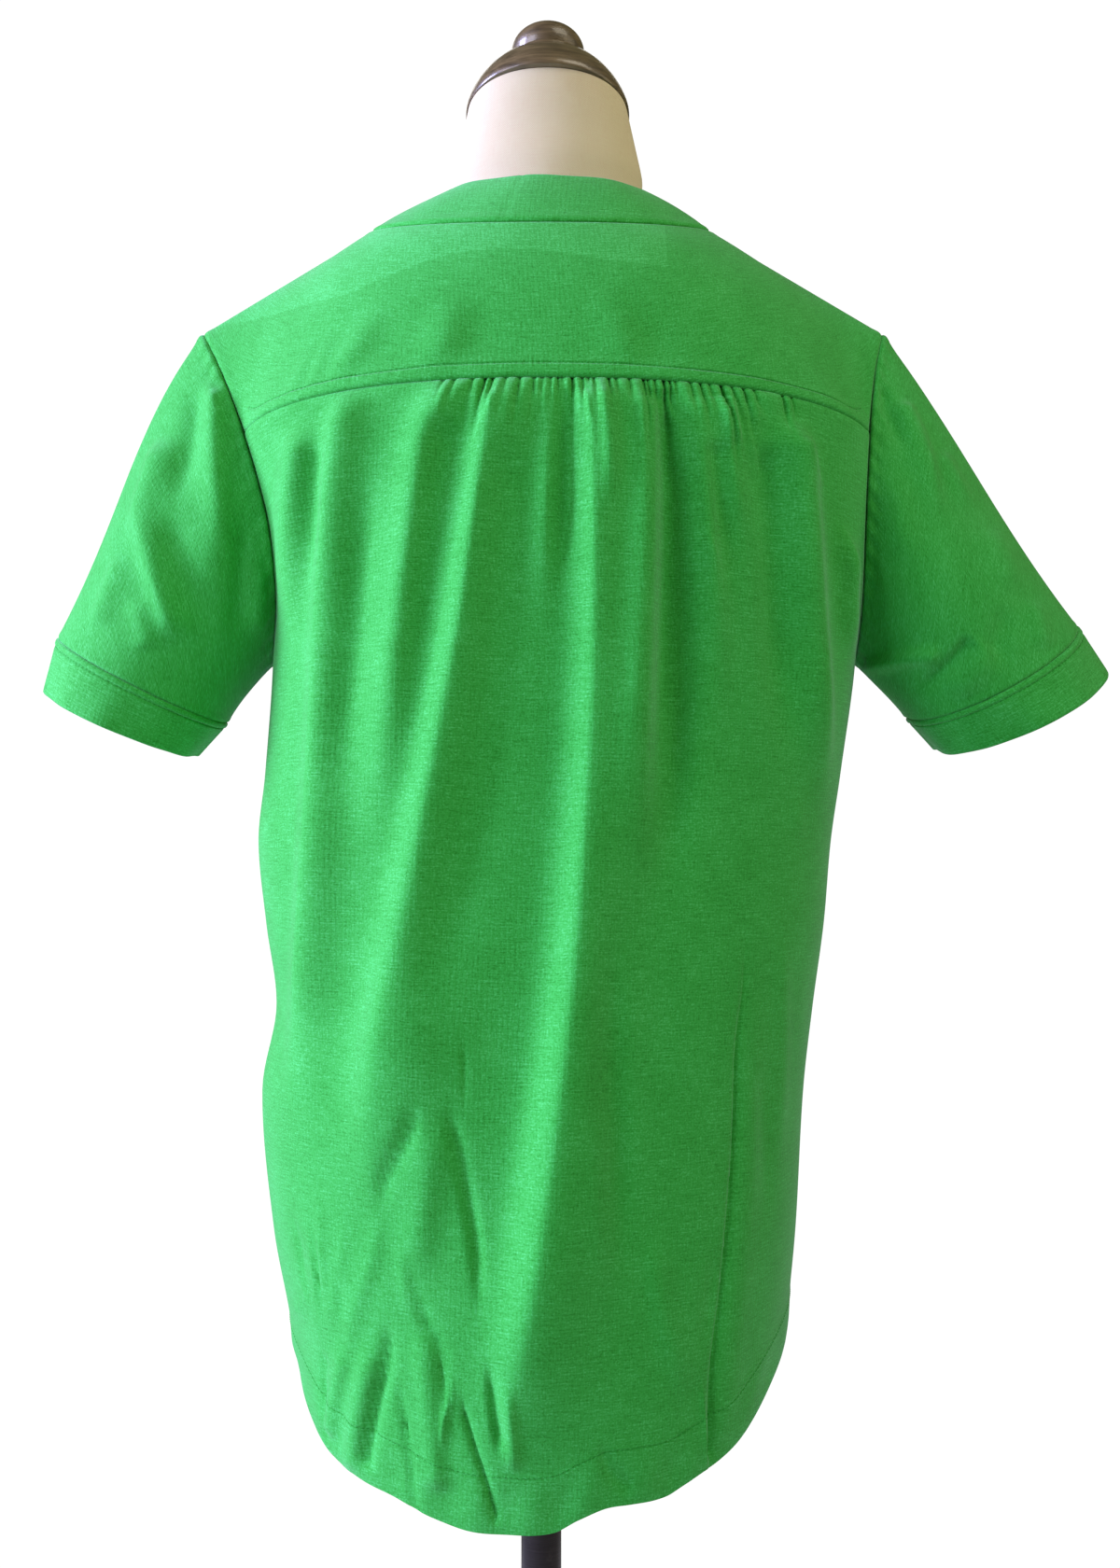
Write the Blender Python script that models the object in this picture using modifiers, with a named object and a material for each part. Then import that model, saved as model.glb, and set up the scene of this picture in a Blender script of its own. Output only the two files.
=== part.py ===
"""A short-sleeved, button-front top of soft jersey, on a limbless dress form.

Metres, +Z up. The origin is on the floor, under the middle of the pole. The front of the top, with its
buttons, faces -Y; the wearer's left is +X. Every piece of cloth is a thin wall: a grid of points on its
outer face and the same grid moved inward. Neighbouring pieces share the points of their seam and are
each drawn back from it by half of the seam gap.
"""

import math
from typing import NamedTuple

import bmesh
import bpy
from mathutils import Vector

# ---- cloth ----
WALL = 0.0015              # thickness of every cloth wall
SEAM_GAP = 0.0003          # space between neighbouring pieces
REST_GAP = 0.0005          # space between the shoulders of the form and the cloth that rests on them

# ---- neck and yoke ----
NECK_HALF_WIDTH = 0.1045   # neck seam, at the shoulder line
NECK_SIDE = Vector((0.0, 0.012, 1.4055))
NECK_BACK = Vector((0.0, 0.078, 1.3910))
NECK_FRONT = Vector((0.0, -0.100, 1.3120))
BAND_HALF_WIDTH = 0.0640   # top edge of the neckband, at the shoulder line
BAND_SIDE = Vector((-0.0034, 0.012, 1.4255))
BAND_BACK = Vector((-0.0034, 0.054, 1.4265))
BAND_FRONT = Vector((0.0, -0.079, 1.3490))
SHOULDER_TIP = 1.3460      # height of the shoulder tip
YOKE_BULGE_SIDE = 0.015    # how far the yoke swells between neck and armhole, over the shoulder blade
YOKE_BULGE_BACK = 0.008    # and at the centre back
YOKE_BULGE_FRONT = 0.006   # and along its front seam
CORNER_ANGLE = 33.0        # where the line to the back corners leaves the neck seam, in degrees
YOKE_DROP = 1.2930         # height of the yoke seam at the centre back
FORWARD_SEAM_ANGLE = -26.0  # where the yoke's front seam leaves the neck, in degrees from the shoulder
YOKE_STEPS = 6             # rings of the yoke from the neck outwards
SEAM_STEPS = 20            # columns of the yoke along its back seam

# ---- armholes ----
UNDERARM = 1.1430
ARMHOLE_BACK_DEPTH = 0.045
ARMHOLE_FRONT_DEPTH = 0.048
BACK_CORNER = 0.662        # where the yoke's back seam meets the armhole, as a part of its height
FRONT_CORNER = 0.86        # where the yoke's front seam meets it
ARMHOLE_STEPS = 7          # steps from each corner down to the underarm

# ---- body ----
BODY_ROUNDNESS = 2.25      # exponent of the body's sections; 2 is an ellipse
CENTRE_SHIFT = -0.006      # the back's middle line, off the pole's axis
HEM_SIDE = 0.7100
HEM_FRONT = 0.6850
FRONT_HEM_ROUNDNESS = 3.0
LOWER_STEPS = 7            # rows from the underarm to the hem

# ---- gathers ----
GATHER_COUNT = 23
GATHER_START = 0.0527      # first gather, measured from the pole's axis toward the wearer's left
GATHER_END = -0.1416
GATHER_DEPTH = 0.0016      # half of the height of a gather's wave
GATHER_LENGTH = 0.085      # how far down a middling gather runs
SIDE_COLUMNS_LEFT = 15
SIDE_COLUMNS_RIGHT = 7

# ---- placket and buttons ----
PLACKET_HALF = 0.0130
PLACKET_LAP = 0.0020       # how far the over band laps onto the right front
LAYER_GAP = 0.0003
BUTTON_COUNT = 7
BUTTON_RADIUS = 0.00575
BUTTON_HEIGHT = 0.0026
BUTTON_TOP = 1.3300
BUTTON_PITCH = 0.0870
FRONT_COLUMNS = 7          # columns of a front between the neck point and the placket

# ---- sleeves ----
SLEEVE_RINGS = 8
SLEEVE_SPREAD = 0.35       # how strongly a sleeve widens to front and back as it leaves the armhole
SLEEVE_FOLD_SPREAD = 0.30  # half-width of a sleeve's fold, in radians round the sleeve
CUFF_DEPTH_HALF = 0.0570   # half of the cuff's width, front to back

# ---- form and stand ----
FORM_COLUMNS = 36
SHOULDER_ROUNDNESS = 1.45  # the form's rings under the yoke fall away fast from the shoulder line
NECK_TILT = 18.0           # forward tilt of the neck's top plane, in degrees
NECK_TOP = Vector((-0.004, 0.0, 1.4790))
CAP_RADIUS = 0.0510
TORSO_BOTTOM = 0.7700
POLE_RADIUS = 0.0125
BASE_RADIUS = 0.1700
BASE_HEIGHT = 0.0280
TURNED_SEGMENTS = 40


class ArmholeRow(NamedTuple):
    """The armhole seam at one part of its height: its distance from the pole's axis on each side."""
    part: float
    left: float
    right: float


ARMHOLE = (
    ArmholeRow(0.00, 0.1655, 0.1945),
    ArmholeRow(0.15, 0.1600, 0.1945),
    ArmholeRow(0.35, 0.1615, 0.1945),
    ArmholeRow(0.52, 0.1695, 0.1960),
    ArmholeRow(0.70, 0.1820, 0.1995),
    ArmholeRow(0.87, 0.1970, 0.2055),
    ArmholeRow(1.00, 0.2110, 0.2130),
)


class BodyRow(NamedTuple):
    """A level section of the body: half-widths at the side seams, and the back and front middles."""
    height: float
    left: float
    right: float
    back: float
    front: float


BODY = (
    BodyRow(0.660, 0.1470, 0.1430, 0.1640, -0.1500),
    BodyRow(0.710, 0.1500, 0.1475, 0.1610, -0.1480),
    BodyRow(0.744, 0.1535, 0.1510, 0.1580, -0.1460),
    BodyRow(0.797, 0.1640, 0.1565, 0.1510, -0.1420),
    BodyRow(0.879, 0.1715, 0.1615, 0.1400, -0.1370),
    BodyRow(0.930, 0.1630, 0.1675, 0.1335, -0.1330),
    BodyRow(0.980, 0.1695, 0.1745, 0.1280, -0.1330),
    BodyRow(1.030, 0.1745, 0.1790, 0.1230, -0.1340),
    BodyRow(1.071, 0.1705, 0.1850, 0.1200, -0.1370),
    BodyRow(1.143, 0.1655, 0.1945, 0.1185, -0.1400),
    BodyRow(1.200, 0.1655, 0.1945, 0.1175, -0.1400),
    BodyRow(1.250, 0.1655, 0.1945, 0.1150, -0.1280),
    BodyRow(1.293, 0.1655, 0.1945, 0.1110, -0.1080),
    BodyRow(1.340, 0.1655, 0.1945, 0.1000, -0.0860),
)


class HemRow(NamedTuple):
    """Height of the back's hem at a distance toward the wearer's left."""
    x: float
    height: float


BACK_HEM = (
    HemRow(-0.150, HEM_SIDE),
    HemRow(-0.130, 0.6985),
    HemRow(-0.108, 0.6930),
    HemRow(-0.080, 0.6845),
    HemRow(-0.036, 0.6800),
    HemRow(0.000, 0.6690),
    HemRow(0.040, 0.6670),
    HemRow(0.075, 0.6760),
    HemRow(0.115, 0.6850),
    HemRow(0.151, HEM_SIDE),
)


class Fold(NamedTuple):
    """A long fold of the cloth: where its ridge runs (toward the wearer's left is +), and its size."""
    name: str
    top: float
    bottom: float
    top_x: float
    middle_x: float
    bottom_x: float
    half_width: float
    depth: float


BACK_FOLDS = (
    Fold("side_left", 1.260, 1.060, 0.136, 0.148, 0.149, 0.010, 0.0025),
    Fold("tuck_left", 1.275, 0.820, 0.110, 0.118, 0.114, 0.010, 0.0035),
    Fold("sweep_outer", 1.285, 1.020, 0.058, 0.078, 0.098, 0.011, 0.0030),
    Fold("sweep_main", 1.288, 0.800, 0.025, 0.072, 0.104, 0.015, 0.0075),
    Fold("centre", 1.284, 1.120, -0.004, -0.003, -0.001, 0.009, 0.0025),
    Fold("prow", 1.287, 0.690, -0.024, -0.022, 0.014, 0.019, 0.0085),
    Fold("inner_right", 1.287, 0.840, -0.054, -0.056, -0.026, 0.013, 0.0045),
    Fold("right_long", 1.284, 1.020, -0.082, -0.096, -0.099, 0.011, 0.0040),
    Fold("right_short", 1.278, 1.180, -0.110, -0.120, -0.130, 0.009, 0.0025),
    Fold("side_right", 1.276, 1.040, -0.142, -0.153, -0.156, 0.011, 0.0035),
    Fold("low_left", 0.900, 0.700, 0.052, 0.046, 0.058, 0.012, 0.0030),
    Fold("low_right", 1.040, 0.710, -0.112, -0.106, -0.088, 0.012, 0.0030),
)

FRONT_FOLDS = (
    Fold("bust_left", 1.180, 0.760, 0.078, 0.088, 0.094, 0.017, 0.0060),
    Fold("side_fall_left", 1.100, 0.740, 0.126, 0.132, 0.122, 0.013, 0.0040),
    Fold("bust_right", 1.170, 0.740, -0.082, -0.086, -0.100, 0.018, 0.0055),
    Fold("side_fall_right", 1.120, 0.800, -0.138, -0.140, -0.132, 0.013, 0.0040),
)


class SleeveRow(NamedTuple):
    """A sleeve: the side it is on, the ends of its two cuff lines, its first slope and its folds."""
    name: str
    side: int
    seam_outer: tuple
    seam_inner: tuple
    edge_outer: tuple
    edge_inner: tuple
    start_slope: float      # degrees below level, where the sleeve leaves the shoulder
    end_slope: float        # degrees below level, at the cuff
    back_sag: float         # how much lower the back of the cuff hangs
    fold_angle: float       # place of the main fold round the sleeve, in degrees; 0 is the back
    fold_depth: float


SLEEVES = (
    SleeveRow("left", 1, (0.2995, 1.157), (0.197, 1.103), (0.3075, 1.1235), (0.216, 1.0820),
              51.0, 62.0, 0.003, 28.0, 0.0040),
    SleeveRow("right", -1, (0.3330, 1.165), (0.229, 1.106), (0.3510, 1.137), (0.2470, 1.0860),
              52.0, 52.0, 0.012, 8.0, 0.0035),
)


class FormRow(NamedTuple):
    """A ring of the form: half-width, then place and height at its sides, back and front.

    A roundness of 2 makes an ellipse, and less makes the ring fall away faster from its sides.
    """
    half_width: float
    side_y: float
    side_z: float
    back_y: float
    back_z: float
    front_y: float
    front_z: float
    roundness: float = 2.15


FORM_BODY = (
    FormRow(0.1700, 0.000, 1.3200, 0.0950, 1.2960, -0.0800, 1.2900, 1.65),
    FormRow(0.1530, 0.000, 1.2750, 0.0990, 1.2650, -0.0950, 1.2600, 1.90),
    FormRow(0.1480, 0.000, 1.2200, 0.1015, 1.2200, -0.1150, 1.2200),
    FormRow(0.1480, 0.000, 1.1700, 0.1010, 1.1700, -0.1240, 1.1700),
    FormRow(0.1430, 0.000, 1.1200, 0.0970, 1.1200, -0.1160, 1.1200),
    FormRow(0.1290, 0.000, 1.0500, 0.0890, 1.0500, -0.0990, 1.0500),
    FormRow(0.1210, 0.000, 0.9900, 0.0860, 0.9900, -0.0930, 0.9900),
    FormRow(0.1350, 0.000, 0.9200, 0.0980, 0.9200, -0.0960, 0.9200),
    FormRow(0.1520, 0.000, 0.8500, 0.1130, 0.8500, -0.1030, 0.8500),
    FormRow(0.1500, 0.000, 0.8000, 0.1120, 0.8000, -0.1050, 0.8000),
    FormRow(0.1430, 0.000, TORSO_BOTTOM, 0.1060, TORSO_BOTTOM, -0.1000, TORSO_BOTTOM),
)


# ---------------------------------------------------------------------------------------- scene


def clear_scene():
    """Remove what the file holds, so that only the model is left."""
    for old in list(bpy.data.objects):
        bpy.data.objects.remove(old, do_unlink=True)
    group = bpy.data.collections.new("button_front_tshirt")
    bpy.context.scene.collection.children.link(group)
    return group


GROUP = clear_scene()


def surface(name, colour, roughness, metallic=0.0):
    """A Principled material with constant values."""
    made = bpy.data.materials.new(name)
    made.use_nodes = True
    shader = made.node_tree.nodes["Principled BSDF"]
    shader.inputs["Base Color"].default_value = (*colour, 1.0)
    shader.inputs["Roughness"].default_value = roughness
    shader.inputs["Metallic"].default_value = metallic
    return made


JERSEY = surface("green_jersey", (0.04, 0.42, 0.10), 0.85)
BUTTON = surface("green_button", (0.05, 0.36, 0.11), 0.35)
LINEN = surface("ecru_linen", (0.74, 0.68, 0.58), 0.9)
WOOD = surface("dark_wood", (0.13, 0.09, 0.055), 0.3)
METAL = surface("dark_metal", (0.03, 0.028, 0.03), 0.35, 0.8)


def place(name, mesh, material):
    """Link a mesh into the model as a smooth-shaded object."""
    mesh.shade_smooth()
    mesh.set_sharp_from_angle(angle=math.radians(40))
    mesh.materials.append(material)
    GROUP.objects.link(bpy.data.objects.new(name, mesh))


# ---------------------------------------------------------------------------------------- maths


def smooth(rows, column, at):
    """A table's column at one value of its first column, along a curve through the rows."""
    keys = [row[0] for row in rows]
    values = [getattr(row, column) for row in rows]
    at = min(max(at, keys[0]), keys[-1])
    place_in = max(i for i in range(len(keys) - 1) if keys[i] <= at)

    def slope(i):
        low, high = max(i - 1, 0), min(i + 1, len(keys) - 1)
        return (values[high] - values[low]) / (keys[high] - keys[low])

    step = keys[place_in + 1] - keys[place_in]
    t = (at - keys[place_in]) / step
    return hermite(values[place_in], values[place_in + 1],
                   slope(place_in) * step, slope(place_in + 1) * step, t)


def hermite(start, end, leave, arrive, t):
    """A cubic from start to end, with its first and last directions."""
    return (start * (2 * t ** 3 - 3 * t ** 2 + 1) + end * (3 * t ** 2 - 2 * t ** 3)
            + leave * (t ** 3 - 2 * t ** 2 + t) + arrive * (t ** 3 - t ** 2))


def ease(t):
    """0 to 1 with level ends."""
    t = min(max(t, 0.0), 1.0)
    return t * t * (3 - 2 * t)


def loop_point(half_width, side, back, front, degrees):
    """A point of a neck loop: 0 is the wearer's left shoulder, 90 the back, -90 the front."""
    angle = math.radians(degrees)
    across, along = math.cos(angle), math.sin(angle)
    x = side.x + half_width * across
    if along >= 0:
        return Vector((x, side.y + (back.y - side.y) * along, side.z + (back.z - side.z) * along))
    reach = 0.5 * -along + 0.5 * (1 - abs(across))
    return Vector((x, side.y + (front.y - side.y) * reach,
                   side.z + (front.z - side.z) * (1 - abs(across))))


def neck_seam(degrees):
    return loop_point(NECK_HALF_WIDTH, NECK_SIDE, NECK_BACK, NECK_FRONT, degrees)


def band_edge(degrees):
    return loop_point(BAND_HALF_WIDTH, BAND_SIDE, BAND_BACK, BAND_FRONT, degrees)


# ---------------------------------------------------------------------------------------- armholes


def armhole(side, part, back):
    """The armhole seam: part runs from 0 at the underarm to 1 at the shoulder tip."""
    x = side * smooth(ARMHOLE, "left" if side > 0 else "right", part)
    swell = max(math.sin(math.pi * part ** 0.8), 0.0) ** 0.7 if 0 < part < 1 else 0.0
    y = ARMHOLE_BACK_DEPTH * swell if back else -ARMHOLE_FRONT_DEPTH * swell
    return Vector((x, y, UNDERARM + (SHOULDER_TIP - UNDERARM) * part))


def armhole_parts(corner):
    """Parts of the armhole's height from a yoke corner down to the underarm, closer at the bottom."""
    return [corner * (1 - i / ARMHOLE_STEPS) ** 1.6 for i in range(ARMHOLE_STEPS + 1)]


BACK_PARTS = armhole_parts(BACK_CORNER)
FRONT_PARTS = armhole_parts(FRONT_CORNER)
YOKE_BACK_PARTS = (0.76, 0.86, 0.94)     # between the back corner and the shoulder tip
YOKE_FRONT_PARTS = (0.93,)               # between the shoulder tip and the front corner


# ---------------------------------------------------------------------------------------- body


def edge_at(side, height, back):
    """Where a front or back panel ends at a height: the armhole, or the side seam below it."""
    if height <= UNDERARM:
        return side * smooth(BODY, "left" if side > 0 else "right", height), 0.0
    part = min((height - UNDERARM) / (SHOULDER_TIP - UNDERARM), 1.0)
    point = armhole(side, part, back)
    return point.x, point.y


def quarter_point(side, height, back, share, stop_x=None):
    """A point of a level quarter section: share 0 is its outer edge and 1 its middle line.

    stop_x ends the quarter short of the middle line, at that distance from it.
    """
    middle_y = smooth(BODY, "back" if back else "front", height)
    edge_x, edge_y = edge_at(side, height, back)
    power = BODY_ROUNDNESS
    start = math.asin(min(abs(edge_y / middle_y), 0.95) ** (power / 2))
    half_width = abs(edge_x - CENTRE_SHIFT * back) / math.cos(start) ** (2 / power)
    stop = math.pi / 2
    if stop_x is not None:
        stop = math.acos((stop_x / half_width) ** (power / 2))
    angle = start + (stop - start) * share
    across = half_width * max(math.cos(angle), 0.0) ** (2 / power)
    return Vector((CENTRE_SHIFT * back + side * across,
                   middle_y * math.sin(angle) ** (2 / power), height))


def front_hem(x, width):
    """The front's hem dips from the side seams to the middle."""
    return HEM_FRONT + (HEM_SIDE - HEM_FRONT) * min(abs(x) / width, 1.0) ** FRONT_HEM_ROUNDNESS


def fold_height(folds, x, height):
    """How far the folds lift the cloth at a place."""
    lift = 0.0
    for fold in folds:
        run = (fold.top - height) / (fold.top - fold.bottom)
        if not 0 < run < 1:
            continue
        ridge = ((1 - run) * (1 - 2 * run) * fold.top_x + 4 * run * (1 - run) * fold.middle_x
                 + run * (2 * run - 1) * fold.bottom_x)
        fade = ease(run / 0.3) * ease((1 - run) / 0.3)
        lift += fold.depth * fade * math.exp(-((x - ridge) / fold.half_width) ** 2)
    return lift


# ---------------------------------------------------------------------------------------- walls


def grid_normals(points, wrap=False):
    """Unit normals of a grid of points, pointing to the side from which columns run right."""
    rows, columns = len(points), len(points[0])
    found = []
    for r in range(rows):
        line = []
        for c in range(columns):
            up, down = points[max(r - 1, 0)][c], points[min(r + 1, rows - 1)][c]
            left = points[r][(c - 1) % columns if wrap else max(c - 1, 0)]
            right = points[r][(c + 1) % columns if wrap else min(c + 1, columns - 1)]
            line.append((right - left).cross(up - down).normalized())
        found.append(line)
    return found


def shorten(points, ends=(1, 1), sides=(1, 1)):
    """Draw a grid's edges back by half of the seam gap, where a neighbour is sewn on."""
    moved = [[p.copy() for p in line] for line in points]
    half = SEAM_GAP / 2

    def pull(point, toward):
        return point + (toward - point).normalized() * half

    for use, row, inner in ((ends[0], 0, 1), (ends[1], -1, -2)):
        if use:
            moved[row] = [pull(a, b) for a, b in zip(moved[row], points[inner])]
    for use, column, inner in ((sides[0], 0, 1), (sides[1], -1, -2)):
        if use:
            for line, first in zip(moved, points):
                line[column] = pull(line[column], first[inner])
    return moved


def wall(name, points, inward, wrap=False):
    """A cloth wall between a grid of outer points and the same points moved inward."""
    rows, columns = len(points), len(points[0])
    mesh_tool = bmesh.new()
    outer = [[mesh_tool.verts.new(p) for p in line] for line in points]
    inner = [[mesh_tool.verts.new(p + n * WALL) for p, n in zip(*pair)] for pair in zip(points, inward)]
    spans = columns if wrap else columns - 1

    def face(*corners):
        mesh_tool.faces.new(corners)

    for r in range(rows - 1):
        for c in range(spans):
            d = (c + 1) % columns
            face(outer[r][c], outer[r + 1][c], outer[r + 1][d], outer[r][d])
            face(inner[r][c], inner[r][d], inner[r + 1][d], inner[r + 1][c])
    for c in range(spans):
        d = (c + 1) % columns
        face(outer[0][c], outer[0][d], inner[0][d], inner[0][c])
        face(outer[-1][c], inner[-1][c], inner[-1][d], outer[-1][d])
    if not wrap:
        for r in range(rows - 1):
            face(outer[r][0], inner[r][0], inner[r + 1][0], outer[r + 1][0])
            face(outer[r][-1], outer[r + 1][-1], inner[r + 1][-1], inner[r][-1])
    bmesh.ops.recalc_face_normals(mesh_tool, faces=mesh_tool.faces)
    mesh = bpy.data.meshes.new(name)
    mesh_tool.to_mesh(mesh)
    mesh_tool.free()
    place(name, mesh, JERSEY)


def inward_from(points, wrap=False):
    return [[-n for n in line] for line in grid_normals(points, wrap)]


def shared(first, second):
    """The direction that two neighbouring edges both use for their rims."""
    joined = (first + second).normalized()
    return joined / max(joined.dot(first), 0.72)


# ---------------------------------------------------------------------------------------- yoke


def yoke_columns():
    """(angle at the neck, outer point) of each column, from the left front seam round the back."""
    left, right = [], []
    for side, found in ((1, left), (-1, right)):
        parts = [(FRONT_CORNER, False)] + [(p, False) for p in reversed(YOKE_FRONT_PARTS)]
        parts += [(1.0, True)] + [(p, True) for p in reversed(YOKE_BACK_PARTS)] + [(BACK_CORNER, True)]
        angles = [FORWARD_SEAM_ANGLE, FORWARD_SEAM_ANGLE / 2]
        angles += [CORNER_ANGLE * i / (len(YOKE_BACK_PARTS) + 1) for i in range(len(YOKE_BACK_PARTS) + 2)]
        for (part, back), angle in zip(parts, angles):
            turned = angle if side > 0 else 180.0 - angle
            found.append((turned, armhole(side, part, back)))
    seam = []
    for i in range(1, SEAM_STEPS):
        share = i / SEAM_STEPS
        turned = CORNER_ANGLE + (180.0 - 2 * CORNER_ANGLE) * share
        seam.append((turned, seam_point(share)))
    return left + seam + list(reversed(right))


def seam_height(share):
    """The yoke's back seam rises from its two corners to the middle."""
    corner = UNDERARM + (SHOULDER_TIP - UNDERARM) * BACK_CORNER
    return corner + (YOKE_DROP - corner) * math.sin(math.pi * share)


def back_point(share, height):
    """The back's smooth surface: share 0 is its left edge and 1 its right edge."""
    if share <= 0.5:
        return quarter_point(1, height, True, share * 2)
    return quarter_point(-1, height, True, (1 - share) * 2)


def seam_point(share):
    return back_point(share, seam_height(share))


def yoke_swell(degrees):
    """How far, and which way, the yoke swells half-way between its neck seam and its outer edge."""
    turn = min(degrees, 180.0 - degrees)
    if turn > 0:
        blade, middle = ease(turn / CORNER_ANGLE), ease((turn - CORNER_ANGLE) / (90.0 - CORNER_ANGLE))
        size = YOKE_BULGE_SIDE * blade + (YOKE_BULGE_BACK - YOKE_BULGE_SIDE) * middle
    else:
        size = YOKE_BULGE_FRONT * ease(turn / FORWARD_SEAM_ANGLE)
    angle = math.radians(degrees)
    return Vector((0.25 * math.cos(angle), 0.75 * math.sin(angle), 0.62)).normalized() * size


def yoke_grid():
    """Rings of the yoke, from the neck seam outwards."""
    columns = yoke_columns()
    grid = []
    for r in range(YOKE_STEPS + 1):
        t = r / YOKE_STEPS
        line = []
        for degrees, outer in columns:
            inner = neck_seam(degrees)
            line.append(inner.lerp(outer, t) + yoke_swell(degrees) * 4 * t * (1 - t))
        grid.append(line)
    return grid


# ---------------------------------------------------------------------------------------- back


def gather_columns():
    """(share of the back's width, wave) of each column; wave is -1 in a furrow and 1 on a ridge."""

    def share_of(x):
        low, high = 0.0, 1.0
        for _ in range(40):
            middle = (low + high) / 2
            if seam_point(middle).x > x:
                low = middle
            else:
                high = middle
        return low

    start, end = share_of(GATHER_START), share_of(GATHER_END)
    columns = [(start * (i / SIDE_COLUMNS_LEFT), 0, 0) for i in range(SIDE_COLUMNS_LEFT)]
    pitch = (end - start) / (GATHER_COUNT - 0.5)
    for i in range(2 * GATHER_COUNT):
        uneven = 0.22 * math.sin(i * 2.4) if 0 < i < 2 * GATHER_COUNT - 1 else 0.0
        columns.append((start + pitch * (i + uneven) / 2, -1 if i % 2 == 0 else 1, i // 2))
    columns += [(end + (1 - end) * (i / SIDE_COLUMNS_RIGHT), 0, 0)
                for i in range(1, SIDE_COLUMNS_RIGHT + 1)]
    return columns


def gather_height(wave, number, below):
    """The gathers' wave: small in the seam, full a little below it, then dying away."""
    length = GATHER_LENGTH * (1.0 + 0.45 * math.sin(number * 1.9))
    depth = GATHER_DEPTH * (1.0 + 0.3 * math.sin(number * 2.7))
    return wave * depth * (0.4 + 0.6 * ease(below / 0.012)) * (1 - ease(below / length))


def row_shares(corner_part, parts):
    """How far down each row of a panel lies, from its top edge (0) to the hem (1), at its side."""
    top = UNDERARM + (SHOULDER_TIP - UNDERARM) * corner_part
    heights = [UNDERARM + (SHOULDER_TIP - UNDERARM) * part for part in parts]
    heights += [UNDERARM + (HEM_SIDE - UNDERARM) * (i / LOWER_STEPS) for i in range(1, LOWER_STEPS + 1)]
    return [(top - height) / (top - HEM_SIDE) for height in heights]


def back_grids():
    """The back's smooth points and its gathered and folded ones."""
    plain, folded = [], []
    columns = gather_columns()
    for share_down in row_shares(BACK_CORNER, BACK_PARTS):
        plain_line = []
        for share, _, _ in columns:
            top = seam_height(share)
            hem = smooth(BACK_HEM, "height", back_point(share, HEM_SIDE).x)
            plain_line.append(back_point(share, top + (hem - top) * share_down))
        plain.append(plain_line)
    normals = grid_normals(plain)
    for line, normal_line in zip(plain, normals):
        folded_line = []
        for point, normal, (share, wave, number) in zip(line, normal_line, columns):
            lift = gather_height(wave, number, seam_height(share) - point.z)
            lift += fold_height(BACK_FOLDS, point.x, point.z) * ease(min(share, 1 - share) / 0.05)
            folded_line.append(point + normal * lift)
        folded.append(folded_line)
    return plain, folded


# ---------------------------------------------------------------------------------------- fronts


def front_grid(side, yoke):
    """A front panel: its columns run down from the shoulder seam, then from the neck seam."""
    seam_column = [line[0] if side > 0 else line[-1] for line in yoke]
    tops = [point.copy() for point in reversed(seam_column)]
    stop = math.degrees(math.acos(PLACKET_HALF / NECK_HALF_WIDTH))
    for i in range(1, FRONT_COLUMNS + 1):
        angle = -FORWARD_SEAM_ANGLE + (stop + FORWARD_SEAM_ANGLE) * i / FRONT_COLUMNS
        point = neck_seam(-angle)
        tops.append(Vector((side * point.x, point.y, point.z)))
    count = len(tops)
    shares = row_shares(FRONT_CORNER, FRONT_PARTS)
    grid = [[None] * count for _ in shares]
    last_upper = ARMHOLE_STEPS
    for c, top in enumerate(tops):
        share = c / (count - 1)
        share = 0.55 * share + 0.45 * (1 - (1 - share) ** 1.6)
        waist = quarter_point(side, UNDERARM, False, share, PLACKET_HALF)
        slope = math.radians(52 - 30 * ease(c / (count - 1)))
        leave = Vector((0, -math.sin(slope), -math.cos(slope))) * (top - waist).length * 1.05
        arrive = Vector((0, 0, -1)) * (top - waist).length * 0.9
        for r in range(last_upper + 1):
            t = shares[r] / shares[last_upper]
            grid[r][c] = hermite(top, waist, leave, arrive, t)
        foot = quarter_point(side, HEM_SIDE, False, share, PLACKET_HALF)
        width = abs(quarter_point(side, HEM_SIDE, False, 0.0).x)
        hem = front_hem(foot.x, width)
        for i in range(1, LOWER_STEPS + 1):
            height = UNDERARM + (hem - UNDERARM) * i / LOWER_STEPS
            grid[last_upper + i][c] = quarter_point(side, height, False, share, PLACKET_HALF)
    for r in range(last_upper + 1):
        true_edge = armhole(side, FRONT_PARTS[r], False)
        miss = true_edge - grid[r][0]
        for c in range(count):
            grid[r][c] = grid[r][c] + miss * (1 - c / (count - 1)) ** 3
        grid[r][-1].x = side * PLACKET_HALF
    if side < 0:
        grid = [list(reversed(line)) for line in grid]
    return grid


def folded_front(grid):
    """A front with its folds, kept flat along its seams."""
    inward = inward_from(grid)
    folded = []
    for line, inward_line in zip(grid, inward):
        count = len(line) - 1
        moved = []
        for c, (point, toward) in enumerate(zip(line, inward_line)):
            near_edge = ease(min(c, count - c) / 2)
            moved.append(point - toward * fold_height(FRONT_FOLDS, point.x, point.z) * near_edge)
        folded.append(moved)
    return folded


# ---------------------------------------------------------------------------------------- sleeves


def cuff_ring(row, outer, inner, degrees):
    """A point of a cuff ring: -90 is under the arm, 0 the back, 90 the outer top."""
    angle = math.radians(degrees)
    top = Vector((row.side * outer[0], 0.0, outer[1]))
    low = Vector((row.side * inner[0], 0.0, inner[1]))
    middle, reach = (top + low) / 2, (top - low) / 2
    back = math.cos(angle)
    sag = Vector((0, 0, -row.back_sag * max(back, 0.0)))
    return middle + reach * math.sin(angle) + Vector((0, CUFF_DEPTH_HALF * back, 0)) + sag


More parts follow.
